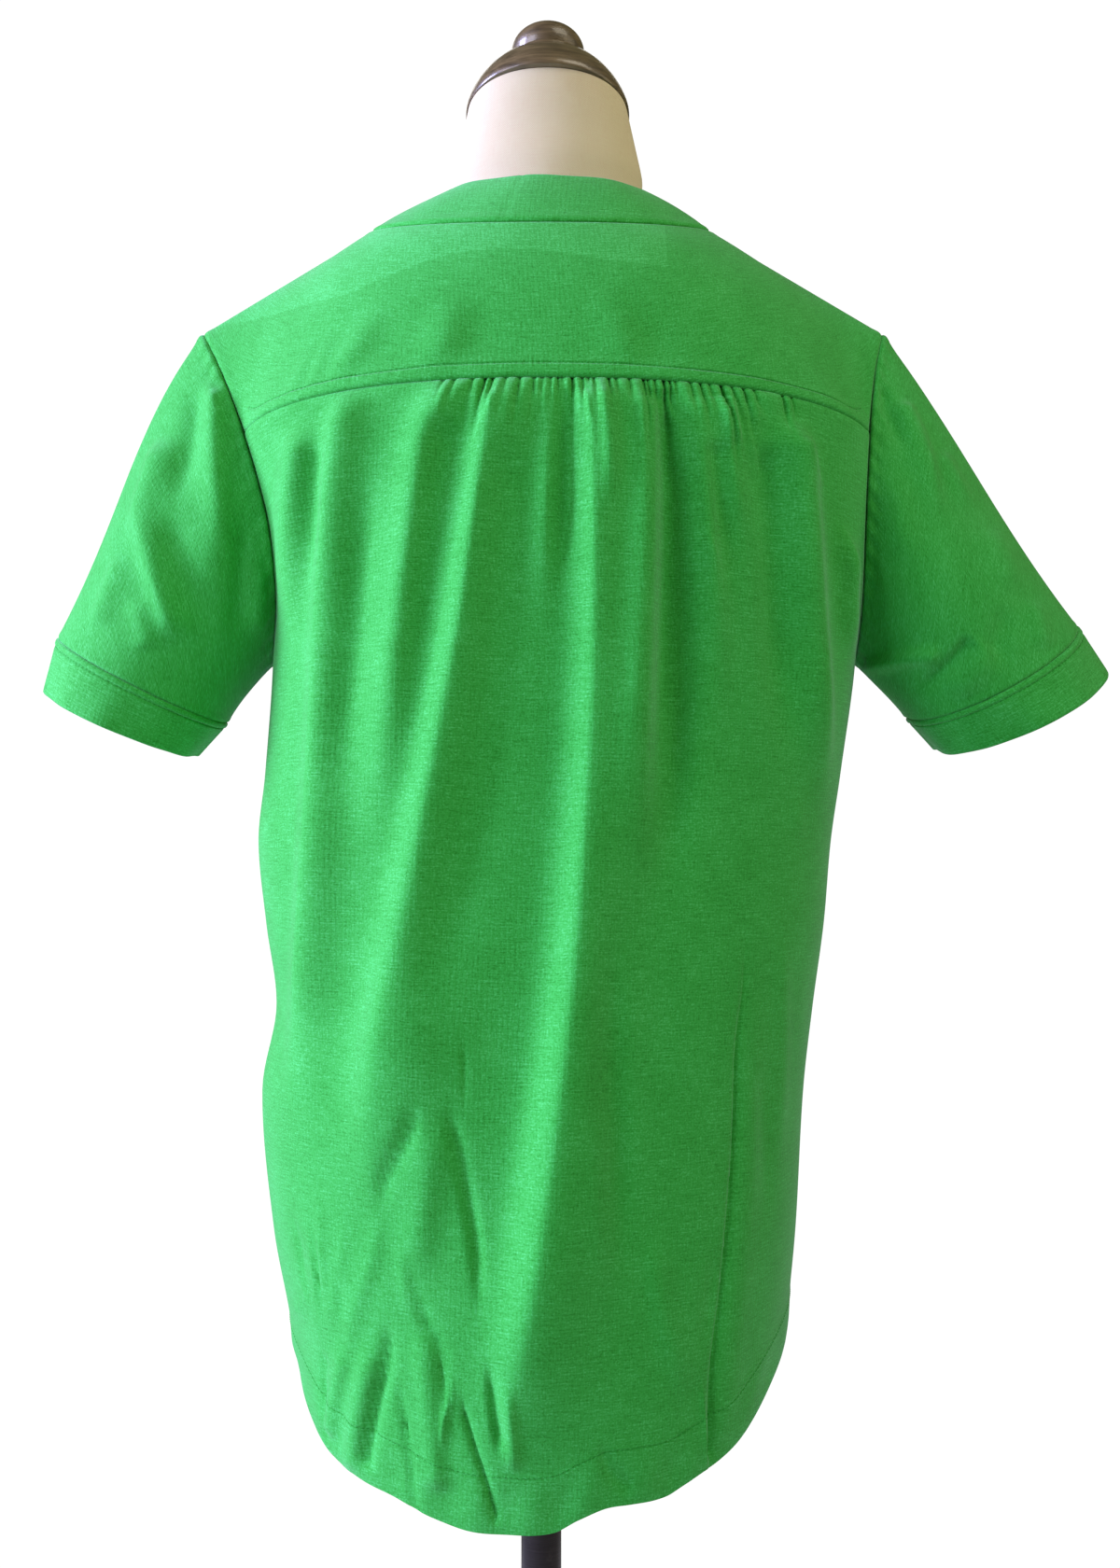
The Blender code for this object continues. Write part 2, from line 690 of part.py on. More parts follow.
def armhole_loop(side):
    """The armhole's points, up the back from the underarm and down the front again."""
    back = [armhole(side, part, True) for part in reversed(BACK_PARTS)]
    back += [armhole(side, part, True) for part in YOKE_BACK_PARTS]
    front = [armhole(side, 1.0, True)]
    front += [armhole(side, part, False) for part in YOKE_FRONT_PARTS]
    front += [armhole(side, part, False) for part in FRONT_PARTS[:-1]]
    return back + front, len(back)


def loop_angles(loop, tip):
    """The cuff angle that belongs to each armhole point, by its distance along the loop."""
    closed = loop + [loop[0]]
    run = [0.0]
    for a, b in zip(closed, closed[1:]):
        run.append(run[-1] + (b - a).length)
    return [-90 + 180 * run[i] / run[tip] if i <= tip
            else 90 + 180 * (run[i] - run[tip]) / (run[-1] - run[tip]) for i in range(len(loop))]


def sleeve_grid(row):
    """Rings of a sleeve from the armhole to the cuff seam, swept along its slope."""
    loop, tip = armhole_loop(row.side)
    angles = loop_angles(loop, tip)

    def heading(degrees):
        angle = math.radians(degrees)
        return Vector((row.side * math.cos(angle), 0, -math.sin(angle)))

    grid = []
    for k in range(SLEEVE_RINGS):
        t = k / (SLEEVE_RINGS - 1)
        line = []
        for start, degrees in zip(loop, angles):
            end = cuff_ring(row, row.seam_outer, row.seam_inner, degrees)
            reach = (end - start).length
            spread = Vector((0, SLEEVE_SPREAD * math.cos(math.radians(degrees)), 0))
            leave = (heading(row.start_slope) + spread) * reach
            arrive = heading(row.end_slope) * reach
            point = hermite(start, end, leave, arrive, t)
            turn = math.radians(degrees - row.fold_angle)
            fold = row.fold_depth * math.exp(-(turn / SLEEVE_FOLD_SPREAD) ** 2) * 4 * t * (1 - t)
            outward = Vector((0, math.cos(math.radians(degrees)), math.sin(math.radians(degrees)) * 0.4))
            line.append(point + outward.normalized() * fold)
        grid.append(line)
    return grid, angles


def cuff_grid(row, angles):
    """A cuff: three rings from its seam to its open edge."""
    seam = [cuff_ring(row, row.seam_outer, row.seam_inner, degrees) for degrees in angles]
    edge = [cuff_ring(row, row.edge_outer, row.edge_inner, degrees) for degrees in angles]
    return [[a.lerp(b, t) for a, b in zip(seam, edge)] for t in (0.0, 0.5, 1.0)]


# ---------------------------------------------------------------------------------------- garment


def build_garment():
    """All of the top's pieces."""
    yoke = yoke_grid()
    plain_back, folded_back = back_grids()
    fronts = {side: front_grid(side, yoke) for side in (1, -1)}
    inward = {
        "yoke": inward_from(yoke),
        "back": inward_from(plain_back),
        1: inward_from(fronts[1]),
        -1: inward_from(fronts[-1]),
    }
    point_inside(inward["yoke"], yoke)
    point_inside(inward["back"], plain_back)
    for side in (1, -1):
        point_inside(inward[side], fronts[side])
    sleeves = {}
    for row in SLEEVES:
        grid, angles = sleeve_grid(row)
        directions = tube_inward(grid)
        join_armhole(row.side, directions, inward)
        sleeves[row.side] = (row, grid, directions, angles)
    join_back_seam(inward)
    join_side_seams(inward)
    join_shoulders(inward)
    band, band_inward = neckband_grid(yoke, fronts, inward)
    square_placket_edges(inward, band_inward)

    wall("yoke", shorten(yoke), inward["yoke"])
    wall("back_panel", shorten(folded_back, ends=(1, 0)), inward["back"])
    folded = {side: folded_front(fronts[side]) for side in (1, -1)}
    wall("front_left", shorten(folded[1], ends=(1, 0)), inward[1])
    wall("front_right", shorten(folded[-1], ends=(1, 0)), inward[-1])
    wall("neckband", shorten(band, ends=(0, 1)), band_inward)
    for side, (row, grid, directions, angles) in sleeves.items():
        wall(f"sleeve_{row.name}", shorten(grid, sides=(0, 0)), directions, wrap=True)
        cuff = cuff_grid(row, angles)
        cuff_inward = tube_inward(cuff)
        cuff_inward[0] = directions[-1]
        wall(f"cuff_{row.name}", shorten(cuff, ends=(1, 0), sides=(0, 0)), cuff_inward, wrap=True)
    build_placket(fronts, band)


def point_inside(inward, points):
    """Turn the directions round where they point away from the body's middle."""
    for line, spots in zip(inward, points):
        for i, (toward, spot) in enumerate(zip(line, spots)):
            middle = Vector((0, 0, min(spot.z, 1.25)))
            if toward.dot(middle - spot) < 0:
                line[i] = -toward


def tube_inward(grid):
    """Inward directions of a tube: across its wall, toward its own middle."""
    found = grid_normals(grid, wrap=True)
    for line, spots in zip(found, grid):
        middle = sum(spots, Vector()) / len(spots)
        for i, (normal, spot) in enumerate(zip(line, spots)):
            line[i] = normal if normal.dot(middle - spot) > 0 else -normal
    return found


def join_armhole(side, sleeve, inward):
    """Give the sleeve's first ring and the body's armhole edges the same rim directions."""
    column = 0 if side > 0 else -1
    back_rows = len(BACK_PARTS)
    yoke_row = inward["yoke"][-1]

    def yoke_index(i):
        return i if side > 0 else len(yoke_row) - 1 - i

    places = [("back", r, column) for r in reversed(range(back_rows))]
    tip = 1 + len(YOKE_FRONT_PARTS)
    corner = tip + len(YOKE_BACK_PARTS) + 1
    places += [("yoke", -1, yoke_index(i)) for i in range(corner - 1, tip - 1, -1)]
    places += [("yoke", -1, yoke_index(i)) for i in range(tip - 1, -1, -1)]
    places += [(side, r, column) for r in range(1, len(FRONT_PARTS) - 1)]
    for i, (piece, r, c) in enumerate(places):
        both = shared(inward[piece][r][c], sleeve[0][i])
        inward[piece][r][c] = both
        sleeve[0][i] = both
    inward["yoke"][-1][yoke_index(corner)] = inward["back"][0][column]
    inward[side][0][column] = inward["yoke"][-1][yoke_index(0)]
    inward[side][len(FRONT_PARTS) - 1][column] = inward["back"][back_rows - 1][column]


def at_share(shares, values, share):
    """A direction along a seam, between the columns that are known."""
    i = max(j for j in range(len(shares) - 1) if shares[j] <= share + 1e-9)
    t = (share - shares[i]) / (shares[i + 1] - shares[i])
    return values[i].lerp(values[i + 1], min(max(t, 0.0), 1.0))


def join_back_seam(inward):
    """Yoke and back panel use the same rim directions along the gathered seam."""
    first = len(YOKE_FRONT_PARTS) + len(YOKE_BACK_PARTS) + 2
    yoke_line = inward["yoke"][-1]
    yoke_shares = [i / SEAM_STEPS for i in range(SEAM_STEPS + 1)]
    back_shares = [share for share, _, _ in gather_columns()]
    both = []
    for i, share in enumerate(yoke_shares):
        across = at_share(back_shares, inward["back"][0], share)
        joined = yoke_line[first + i] if i in (0, SEAM_STEPS) else shared(yoke_line[first + i], across)
        yoke_line[first + i] = joined
        both.append(joined)
    inward["back"][0] = [at_share(yoke_shares, both, share) for share in back_shares]


def join_side_seams(inward):
    """Fronts and back use the same rim directions down the side seams."""
    first = len(BACK_PARTS)
    for side in (1, -1):
        column = 0 if side > 0 else -1
        for i in range(LOWER_STEPS):
            back, front = inward["back"][first + i], inward[side][len(FRONT_PARTS) + i]
            both = shared(back[column], front[column])
            back[column], front[column] = both, both


def square_placket_edges(inward, band_inward):
    """Beside the placket the rims run straight back, so that they stay parallel to its bands."""
    lines = [(line, -1) for line in inward[1]] + [(line, 0) for line in inward[-1]]
    lines += [(line, end) for line in band_inward for end in (0, -1)]
    for line, column in lines:
        flat = Vector((0, line[column].y, line[column].z))
        line[column] = flat.normalized()


def join_shoulders(inward):
    """Fronts and yoke use the same rim directions along the shoulder seams."""
    for side in (1, -1):
        column = 0 if side > 0 else -1
        front_top = inward[side][0]
        for i in range(1, YOKE_STEPS + 1):
            place_in = i if side > 0 else len(front_top) - 1 - i
            line = inward["yoke"][YOKE_STEPS - i]
            both = shared(line[column], front_top[place_in])
            line[column], front_top[place_in] = both, both


def neckband_grid(yoke, fronts, inward):
    """The neckband, from the left placket edge round the back to the right one."""
    stop = math.degrees(math.acos(PLACKET_HALF / NECK_HALF_WIDTH))
    front_angles = [-FORWARD_SEAM_ANGLE + (stop + FORWARD_SEAM_ANGLE) * i / FRONT_COLUMNS
                    for i in range(1, FRONT_COLUMNS + 1)]
    yoke_angles = [degrees for degrees, _ in yoke_columns()]
    angles = [-a for a in reversed(front_angles)] + yoke_angles + [180 + a for a in front_angles]
    seam_directions = list(reversed(inward[1][0][-FRONT_COLUMNS:])) + list(inward["yoke"][0])
    seam_directions += list(reversed(inward[-1][0][:FRONT_COLUMNS]))
    seam = [neck_seam(degrees) for degrees in angles]
    top = [band_edge(degrees) for degrees in angles]
    for end in (0, -1):
        sign = 1 if end == 0 else -1
        seam[end].x = sign * PLACKET_HALF
        top[end].x = sign * PLACKET_HALF
    swell = Vector((0, 0, 0.002))
    grid = [top, [a.lerp(b, 0.5) + swell for a, b in zip(top, seam)], seam]
    directions = inward_from(grid)
    for line, spots in zip(directions, grid):
        for i, (toward, spot) in enumerate(zip(line, spots)):
            line[i] = toward if toward.z < 0 else -toward
    for i, own in enumerate(directions[-1]):
        both = shared(seam_directions[i], own)
        directions[-1][i] = both
        set_neck_direction(i, both, inward, len(front_angles), len(yoke_angles))
    return grid, directions


def set_neck_direction(i, direction, inward, front_count, yoke_count):
    """Store a neck seam direction with the piece below the neckband."""
    if i < front_count:
        inward[1][0][len(inward[1][0]) - 1 - i] = direction
    elif i < front_count + yoke_count:
        inward["yoke"][0][i - front_count] = direction
        if i == front_count:
            inward[1][0][YOKE_STEPS] = direction
        if i == front_count + yoke_count - 1:
            inward[-1][0][len(inward[-1][0]) - 1 - YOKE_STEPS] = direction
    else:
        inward[-1][0][front_count - 1 - (i - front_count - yoke_count)] = direction


# ---------------------------------------------------------------------------------------- placket


def centre_line(fronts, band):
    """Points down the middle of the front, from the top of the neckband to the hem."""
    down = [line[0].copy() for line in band[:-1]]
    down += [line[-1].copy() for line in fronts[1]]
    for point in down:
        point.x = 0.0
    return down


def placket_grid(middle, left_x, right_x, lift):
    """A straight band down the front, lifted off the cloth below by lift."""
    grid = []
    for i, point in enumerate(middle):
        above, below = middle[max(i - 1, 0)], middle[min(i + 1, len(middle) - 1)]
        out = Vector((0, -(above - below).z, (above - below).y)).normalized()
        out = out if out.y < 0 else -out
        raised = point + out * lift
        grid.append([Vector((x, raised.y, raised.z)) for x in (right_x, (left_x + right_x) / 2, left_x)])
    return grid


def build_placket(fronts, band):
    """The button band, the buttonhole band over it, and the buttons."""
    middle = centre_line(fronts, band)
    half = PLACKET_HALF - SEAM_GAP / 2
    over_lift = WALL + LAYER_GAP
    for name, left_x, right_x, lift in (
            ("placket_under", half, -half, 0.0),
            ("placket_over", half, -PLACKET_HALF - PLACKET_LAP, over_lift)):
        grid = placket_grid(middle, left_x, right_x, lift)
        toward = [[-n if n.y < 0 else n for n in line] for line in grid_normals(grid)]
        wall(name, grid, toward)
    face = placket_grid(middle, half, -half, over_lift)
    line = [points[1] for points in face]
    for number in range(BUTTON_COUNT):
        height = BUTTON_TOP - number * BUTTON_PITCH
        build_button(f"button_{number + 1}", line, height)


def build_button(name, line, height):
    """A flat button with a raised rim, lying on the front of the over band."""
    below = next(i for i, point in enumerate(line) if point.z <= height)
    a, b = line[below - 1], line[below]
    along = (b - a).normalized()
    spot = a.lerp(b, (a.z - height) / (a.z - b.z))
    out = Vector((0, along.z, -along.y))
    out = out if out.y < 0 else -out
    rim, dish = 0.0009, 0.0007
    profile = ((0.0, BUTTON_HEIGHT - dish), (BUTTON_RADIUS - 2 * rim, BUTTON_HEIGHT - dish),
               (BUTTON_RADIUS - rim, BUTTON_HEIGHT), (BUTTON_RADIUS, BUTTON_HEIGHT * 0.6),
               (BUTTON_RADIUS - rim, 0.0), (0.0, 0.0))
    button = turned(name, profile, 14, BUTTON)
    button.rotation_euler = out.to_track_quat("Z", "Y").to_euler()
    button.location = spot + out * 0.0005


# ---------------------------------------------------------------------------------------- form


def turned(name, profile, segments, material):
    """A solid turned about its own Z axis from a profile that runs down its outer side."""
    mesh = bpy.data.meshes.new(name)
    points = [(radius, 0.0, height) for radius, height in profile]
    mesh.from_pydata(points, [(i, i + 1) for i in range(len(points) - 1)], [])
    made = bpy.data.objects.new(name, mesh)
    GROUP.objects.link(made)
    made.data.materials.append(material)
    screw = made.modifiers.new("turn", "SCREW")
    screw.steps = segments
    screw.render_steps = segments
    screw.use_merge_vertices = True
    screw.merge_threshold = 0.00001
    screw.use_smooth_shade = True
    return made


def form_ring(row, shift=0.0):
    """One ring of the form's body."""
    ring = []
    for i in range(FORM_COLUMNS):
        angle = 2 * math.pi * i / FORM_COLUMNS
        c, s = math.cos(angle), math.sin(angle)
        power = 2 / row.roundness
        x = shift + row.half_width * math.copysign(abs(c) ** power, c)
        far_y, far_z = (row.back_y, row.back_z) if s >= 0 else (row.front_y, row.front_z)
        ring.append(Vector((x, row.side_y + (far_y - row.side_y) * abs(s) ** power,
                            row.side_z + (far_z - row.side_z) * abs(s) ** power)))
    return ring


def shoulder_row(yoke, step, extra, back, front):
    """A ring under the cloth of the shoulder line, lower than the rest gap by an extra distance."""
    tip_column = 1 + len(YOKE_FRONT_PARTS)
    crest = yoke[step][tip_column]
    beyond = yoke[min(step + 1, YOKE_STEPS)][tip_column] - yoke[max(step - 1, 0)][tip_column]
    out = Vector((-beyond.z, 0, beyond.x)).normalized()
    point = crest - out * (WALL + REST_GAP + extra)
    return FormRow(point.x, point.y, point.z, *back, *front, SHOULDER_ROUNDNESS)


def build_form(yoke):
    """The form's torso and neck: one closed solid of rings, flat at both ends."""
    tilt = math.tan(math.radians(NECK_TILT))
    top_depth = 0.0450
    rows = [
        (FormRow(0.0500, 0, NECK_TOP.z, top_depth, NECK_TOP.z + top_depth * tilt,
                 -top_depth, NECK_TOP.z - top_depth * tilt), NECK_TOP.x),
        (FormRow(0.0552, 0.001, 1.4560, 0.0455, 1.4640, -0.0460, 1.4320), -0.0042),
        (FormRow(0.0590, 0.004, 1.4400, 0.0480, 1.4440, -0.0460, 1.4070, 2.0), -0.0038),
        (FormRow(0.0606, 0.009, 1.4250, 0.0500, 1.4240, -0.0470, 1.3870, 1.8), -0.0034),
        (FormRow(0.0790, 0.012, 1.4130, 0.0600, 1.4030, -0.0520, 1.3680, 1.55), -0.0010),
    ]
    rows += [(shoulder_row(yoke, step, extra, back, front), 0.0) for step, extra, back, front in (
        (0, 0.000, (0.0700, 1.3850), (-0.0560, 1.3550)),
        (2, 0.000, (0.0820, 1.3600), (-0.0620, 1.3420)),
        (3, 0.002, (0.0880, 1.3400), (-0.0680, 1.3300)),
        (4, 0.005, (0.0920, 1.3210), (-0.0730, 1.3140)))]
    rows += [(row, 0.0) for row in FORM_BODY]
    rings = [form_ring(row, shift) for row, shift in rows]
    mesh_tool = bmesh.new()
    verts = [[mesh_tool.verts.new(p) for p in ring] for ring in rings]
    for high, low in zip(verts, verts[1:]):
        for i in range(FORM_COLUMNS):
            j = (i + 1) % FORM_COLUMNS
            mesh_tool.faces.new((high[i], low[i], low[j], high[j]))
    mesh_tool.faces.new(verts[0])
    mesh_tool.faces.new(list(reversed(verts[-1])))
    bmesh.ops.recalc_face_normals(mesh_tool, faces=mesh_tool.faces)
    mesh = bpy.data.meshes.new("form_torso")
    mesh_tool.to_mesh(mesh)
    mesh_tool.free()
    place("form_torso", mesh, LINEN)


def build_stand():
    """Neck cap and finial on the tilted neck, and the pole and round base below the torso."""
    tilt = math.radians(NECK_TILT)
    axis = Vector((0, -math.sin(tilt), math.cos(tilt)))
    cap_top = 0.0360
    cap = turned("neck_cap", ((0, cap_top), (0.0245, cap_top), (0.0310, 0.0330), (0.0385, 0.0270),
                              (0.0470, 0.0145), (CAP_RADIUS, 0.0045), (CAP_RADIUS, 0.0), (0, 0)),
                 TURNED_SEGMENTS, WOOD)
    cap.location = NECK_TOP + axis * SEAM_GAP
    cap.rotation_euler = (tilt, 0, 0)
    ball, collar = 0.0232, 0.0243
    profile = [(0.0, 0.0310)]
    for i in range(1, 9):
        angle = math.radians(90 - i * 15)
        profile.append((ball * math.cos(angle), 0.0150 + 0.0160 * math.sin(angle)))
    profile += [(collar, 0.0050), (collar, 0.0), (0.0, 0.0)]
    finial = turned("finial", profile, TURNED_SEGMENTS, WOOD)
    finial.location = NECK_TOP + axis * (cap_top + 2 * SEAM_GAP)
    finial.rotation_euler = (tilt, 0, 0)

    pole_low = BASE_HEIGHT + SEAM_GAP
    turned("pole", ((0, TORSO_BOTTOM - SEAM_GAP), (POLE_RADIUS, TORSO_BOTTOM - SEAM_GAP),
                    (POLE_RADIUS, pole_low), (0, pole_low)), 24, METAL)
    turned("base", ((0, BASE_HEIGHT), (0.0300, BASE_HEIGHT), (0.0360, 0.0220), (0.0900, 0.0160),
                    (0.1500, 0.0120), (BASE_RADIUS - 0.003, 0.0100), (BASE_RADIUS, 0.0070),
                    (BASE_RADIUS, 0.0), (0, 0)), 48, METAL)


build_garment()
build_form(yoke_grid())
build_stand()
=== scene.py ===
"""Dress and light the button-front jersey top on its limbless dress form.

Metres, +Z up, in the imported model's own frame. The front of the top, with its buttons, faces -Y; the
wearer's left is +X. Every piece of cloth is a thin shell on a smooth surface. Its gathers, folds and creases
are soft ridges and troughs on that surface.
"""

import logging
import math
from dataclasses import dataclass, field
from enum import Enum
from typing import Callable, Iterable, NamedTuple, Sequence

import bmesh
import bpy
import numpy as np
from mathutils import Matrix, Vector


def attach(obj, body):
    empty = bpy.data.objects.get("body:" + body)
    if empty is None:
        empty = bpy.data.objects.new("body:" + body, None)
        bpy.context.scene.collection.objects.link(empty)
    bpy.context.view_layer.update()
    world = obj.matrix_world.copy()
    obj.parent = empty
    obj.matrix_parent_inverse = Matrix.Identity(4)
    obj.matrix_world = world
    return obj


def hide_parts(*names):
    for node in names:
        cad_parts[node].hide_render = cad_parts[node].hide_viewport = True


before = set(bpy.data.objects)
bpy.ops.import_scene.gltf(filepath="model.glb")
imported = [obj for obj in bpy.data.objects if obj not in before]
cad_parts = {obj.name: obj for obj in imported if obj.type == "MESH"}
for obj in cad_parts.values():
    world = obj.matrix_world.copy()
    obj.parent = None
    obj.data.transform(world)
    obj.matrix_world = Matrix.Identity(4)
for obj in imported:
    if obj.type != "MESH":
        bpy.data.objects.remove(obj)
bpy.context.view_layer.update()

LOG = logging.getLogger("jersey_top")
Array = np.ndarray
Colour = tuple[float, float, float]

# ---------- sizes

MM = 0.001

CLOTH = 0.0010                 # thickness of the jersey as it shows
FOLDED = 0.0014                # thickness of the neckband and the cuffs, which are folded
THREAD_LIFT = 0.0001           # how far a line of stitches stands off the cloth
SEAM_STITCH = 0.0075           # the yoke's stitch row, measured from its back seam
CUFF_STITCH = 0.0045           # the cuffs' stitch row, below their seam
HEM_STITCH = 0.0290            # the hem's stitch row, above the edge
BAND_STITCH = 0.0020           # the placket's stitch rows, from the band's edges

UNDERARM = 1.1430              # heights of the armhole's two ends
SHOULDER_TIP = 1.3460
BACK_CORNER = 0.662            # where the yoke's seams meet the armhole, as parts of its height
FRONT_CORNER = 0.86
CORNER_ANGLE = 33.0            # the same corners, as degrees round the neck
FORWARD_SEAM_ANGLE = -26.0
YOKE_DROP = 1.2930             # height of the yoke's back seam at its middle
HEM_LEFT = 0.7180              # height of the hem at the side seams and at the placket
HEM_RIGHT = 0.7330
HEM_FRONT = 0.6850
FRONT_HEM_ROUNDNESS = 3.0
CENTRE_SHIFT = -0.006          # x of the back's middle line
BODY_ROUNDNESS = 2.25
PLACKET_HALF = 0.0130
PLACKET_LAP = 0.0020
PLACKET_GAP = 0.00015          # how far the bands' edges stay short of the fronts' edges
LAYER_LIFT = 0.0018            # the buttonhole band over the button band
SLEEVE_SPREAD = 0.35
CUFF_DEPTH_HALF = 0.0570
NECK_TOP = (-0.004, 0.0, 1.4790)   # middle of the form's top face
NECK_TILT = 18.0                   # degrees that this face leans to the front

# the last part of a hem's section, round its stitch row: places above the edge, and lifts
STITCHED_HEM = (HEM_STITCH - 0.003, HEM_STITCH, HEM_STITCH + 0.0015, HEM_STITCH + 0.004)
STITCHED_LIFT = (0.0003, 0.0, 0.0001, 0.0)
EDGE_GROOVE = ((0, 0.0012, 0.003, 0.008), (-0.0009, -0.0001, 0.0003, 0.0))   # a seam without a stitch row


# ---------- maths


def hermite(start: Array, end: Array, leave: Array, arrive: Array, t: Array) -> Array:
    """A cubic from start to end, with its first and last directions."""
    return (start * (2 * t ** 3 - 3 * t ** 2 + 1) + end * (3 * t ** 2 - 2 * t ** 3)
            + leave * (t ** 3 - 2 * t ** 2 + t) + arrive * (t ** 3 - t ** 2))


def through(keys: Sequence[float], values: Sequence, at: Array) -> Array:
    """A smooth curve through (key, value) pairs.

    Args:
        keys: Rising numbers.
        values: One number, or one row of numbers, for each key.
        at: Where the curve is read; held at its ends.

    Returns:
        The curve's value at each place.
    """
    keys, values = np.asarray(keys, float), np.asarray(values, float)
    at = np.clip(np.asarray(at, float), keys[0], keys[-1])
    i = np.clip(np.searchsorted(keys, at, side="right") - 1, 0, len(keys) - 2)
    steps = np.arange(len(keys))
    low, high = np.maximum(steps - 1, 0), np.minimum(steps + 1, len(keys) - 1)
    run = keys[high] - keys[low]
    slope = (values[high] - values[low]) / (run[:, None] if values.ndim > 1 else run)
    step, t = keys[i + 1] - keys[i], (at - keys[i]) / (keys[i + 1] - keys[i])
    if values.ndim > 1:
        step, t = step[..., None], t[..., None]
    return hermite(values[i], values[i + 1], slope[i] * step, slope[i + 1] * step, t)


def ease(t: Array) -> Array:
    """0 to 1 with level ends."""
    t = np.clip(t, 0.0, 1.0)
    return t * t * (3 - 2 * t)


def bell(value: Array, middle: float, width: float) -> Array:
    """1 where a value is at the middle, and less to both sides."""
    return np.exp(-((value - middle) / width) ** 2)


def stack(x: Array, y: Array, z: Array) -> Array:
    """Points from their three coordinates."""
    return np.stack(np.broadcast_arrays(x, y, z), axis=-1).astype(float)


def unit(v: Array) -> Array:
    """Vectors at length 1."""
    return v / np.maximum(np.linalg.norm(v, axis=-1, keepdims=True), 1e-12)


def runs(points: Array, axis: int = 0) -> Array:
    """Distances along lines of points, each from 0 at its first point."""
    steps = np.linalg.norm(np.diff(points, axis=axis), axis=-1)
    pad = [(0, 0)] * steps.ndim
    pad[axis] = (1, 0)
    return np.cumsum(np.pad(steps, pad), axis=axis)


def evenly(points: Array, count: int) -> Array:
    """A line of points, spaced evenly along its length."""
    run = runs(points)
    at = np.linspace(0, run[-1], count)
    return np.stack([np.interp(at, run, points[:, k]) for k in range(3)], axis=1)


def graded(start: float, end: float, first: float, last: float, count: int) -> Array:
    """count + 1 numbers from start to end, whose steps go from about first to last in size."""
    sizes = np.linspace(first, last, count)
    run = np.concatenate([[0.0], np.cumsum(sizes)])
    return start + (end - start) * run / run[-1]


# ---------- folds


class Crest(Enum):
    """How the crest of a fold is shaped."""

    SOFT = "soft"
    SHARP = "sharp"


SOFT, SHARP = Crest.SOFT, Crest.SHARP
FOLD_REACH = 3.0               # half-widths beyond which a fold's height counts as nothing
PATH_STEPS = 4                 # short steps between two points of a fold's path


@dataclass(frozen=True)
class Fold:
    """One ridge or trough, drawn down a piece, in millimetres.

    path is in (x, z), from its top to its bottom. left and right are the half-widths of its two flanks, the
    left one toward the wearer's left where the path runs down. A lift below 0 makes a trough. head and foot
    are the shares of its length over which its ends die away, and grow is how much larger it is at its foot.
    """

    path: tuple[tuple[float, float], ...]
    left: float
    right: float
    lift: float
    head: float = 0.3
    foot: float = 0.4
    grow: float = 1.0
    crest: Crest = SOFT

    def line(self) -> Array:
        """The path as a smooth line of short steps, in metres."""
        count = len(self.path)
        return through(range(count), self.path, np.linspace(0, count - 1, (count - 1) * PATH_STEPS + 1)) * MM

    def height(self, x: Array, z: Array) -> Array:
        """How far the fold lifts the cloth at each place."""
        line = self.line()
        reach = FOLD_REACH * max(self.left, self.right) * max(self.grow, 1.0) * MM
        near = ((x > line[:, 0].min() - reach) & (x < line[:, 0].max() + reach)
                & (z > line[:, 1].min() - reach) & (z < line[:, 1].max() + reach))
        lifted = np.zeros_like(x)
        if not near.any():
            return lifted
        px, pz = x[near], z[near]
        best, side, along = np.full(px.shape, np.inf), np.zeros(px.shape), np.zeros(px.shape)
        run = 0.0
        for (ax, az), (bx, bz) in zip(line, line[1:]):
            dx, dz = bx - ax, bz - az
            length = math.hypot(dx, dz)
            t = np.clip(((px - ax) * dx + (pz - az) * dz) / length ** 2, 0, 1)
            gap = np.hypot(px - ax - t * dx, pz - az - t * dz)
            closer = gap < best
            best = np.where(closer, gap, best)
            side = np.where(closer, dx * (pz - az) - dz * (px - ax), side)
            along = np.where(closer, run + t * length, along)
            run += length
        along /= run
        size = (1 + (self.grow - 1) * along) * MM
        apart = best / (np.where(side > 0, self.left, self.right) * size)
        shape = np.exp(-apart ** 2) if self.crest is SOFT else np.exp(-1.5 * apart)
        fade = np.ones_like(along)
        if self.head:
            fade *= ease(along / self.head)
        if self.foot:
            fade *= ease((1 - along) / self.foot)
        lifted[near] = self.lift * size * shape * fade
        return lifted


def lift_of(folds: Iterable[Fold], x: Array, z: Array) -> Array:
    """The height of all of a piece's folds together."""
    total = np.zeros_like(x)
    for fold in folds:
        total += fold.height(x, z)
    return total


# ---------- body surface


class ArmholeRow(NamedTuple):
    """The armhole seam at one part of its height: its distance from the pole's axis on each side."""

    part: float
    left: float
    right: float


ARMHOLE = (
    ArmholeRow(0.00, 0.1655, 0.1945),
    ArmholeRow(0.15, 0.1600, 0.1945),
    ArmholeRow(0.35, 0.1615, 0.1945),
    ArmholeRow(0.52, 0.1695, 0.1960),
    ArmholeRow(0.70, 0.1820, 0.1995),
    ArmholeRow(0.87, 0.1970, 0.2055),
    ArmholeRow(1.00, 0.2110, 0.2130),
)


class BodyRow(NamedTuple):
    """A level section of the body: half-widths at the side seams, and the back and front middles."""

    height: float
    left: float
    right: float
    back: float
    front: float


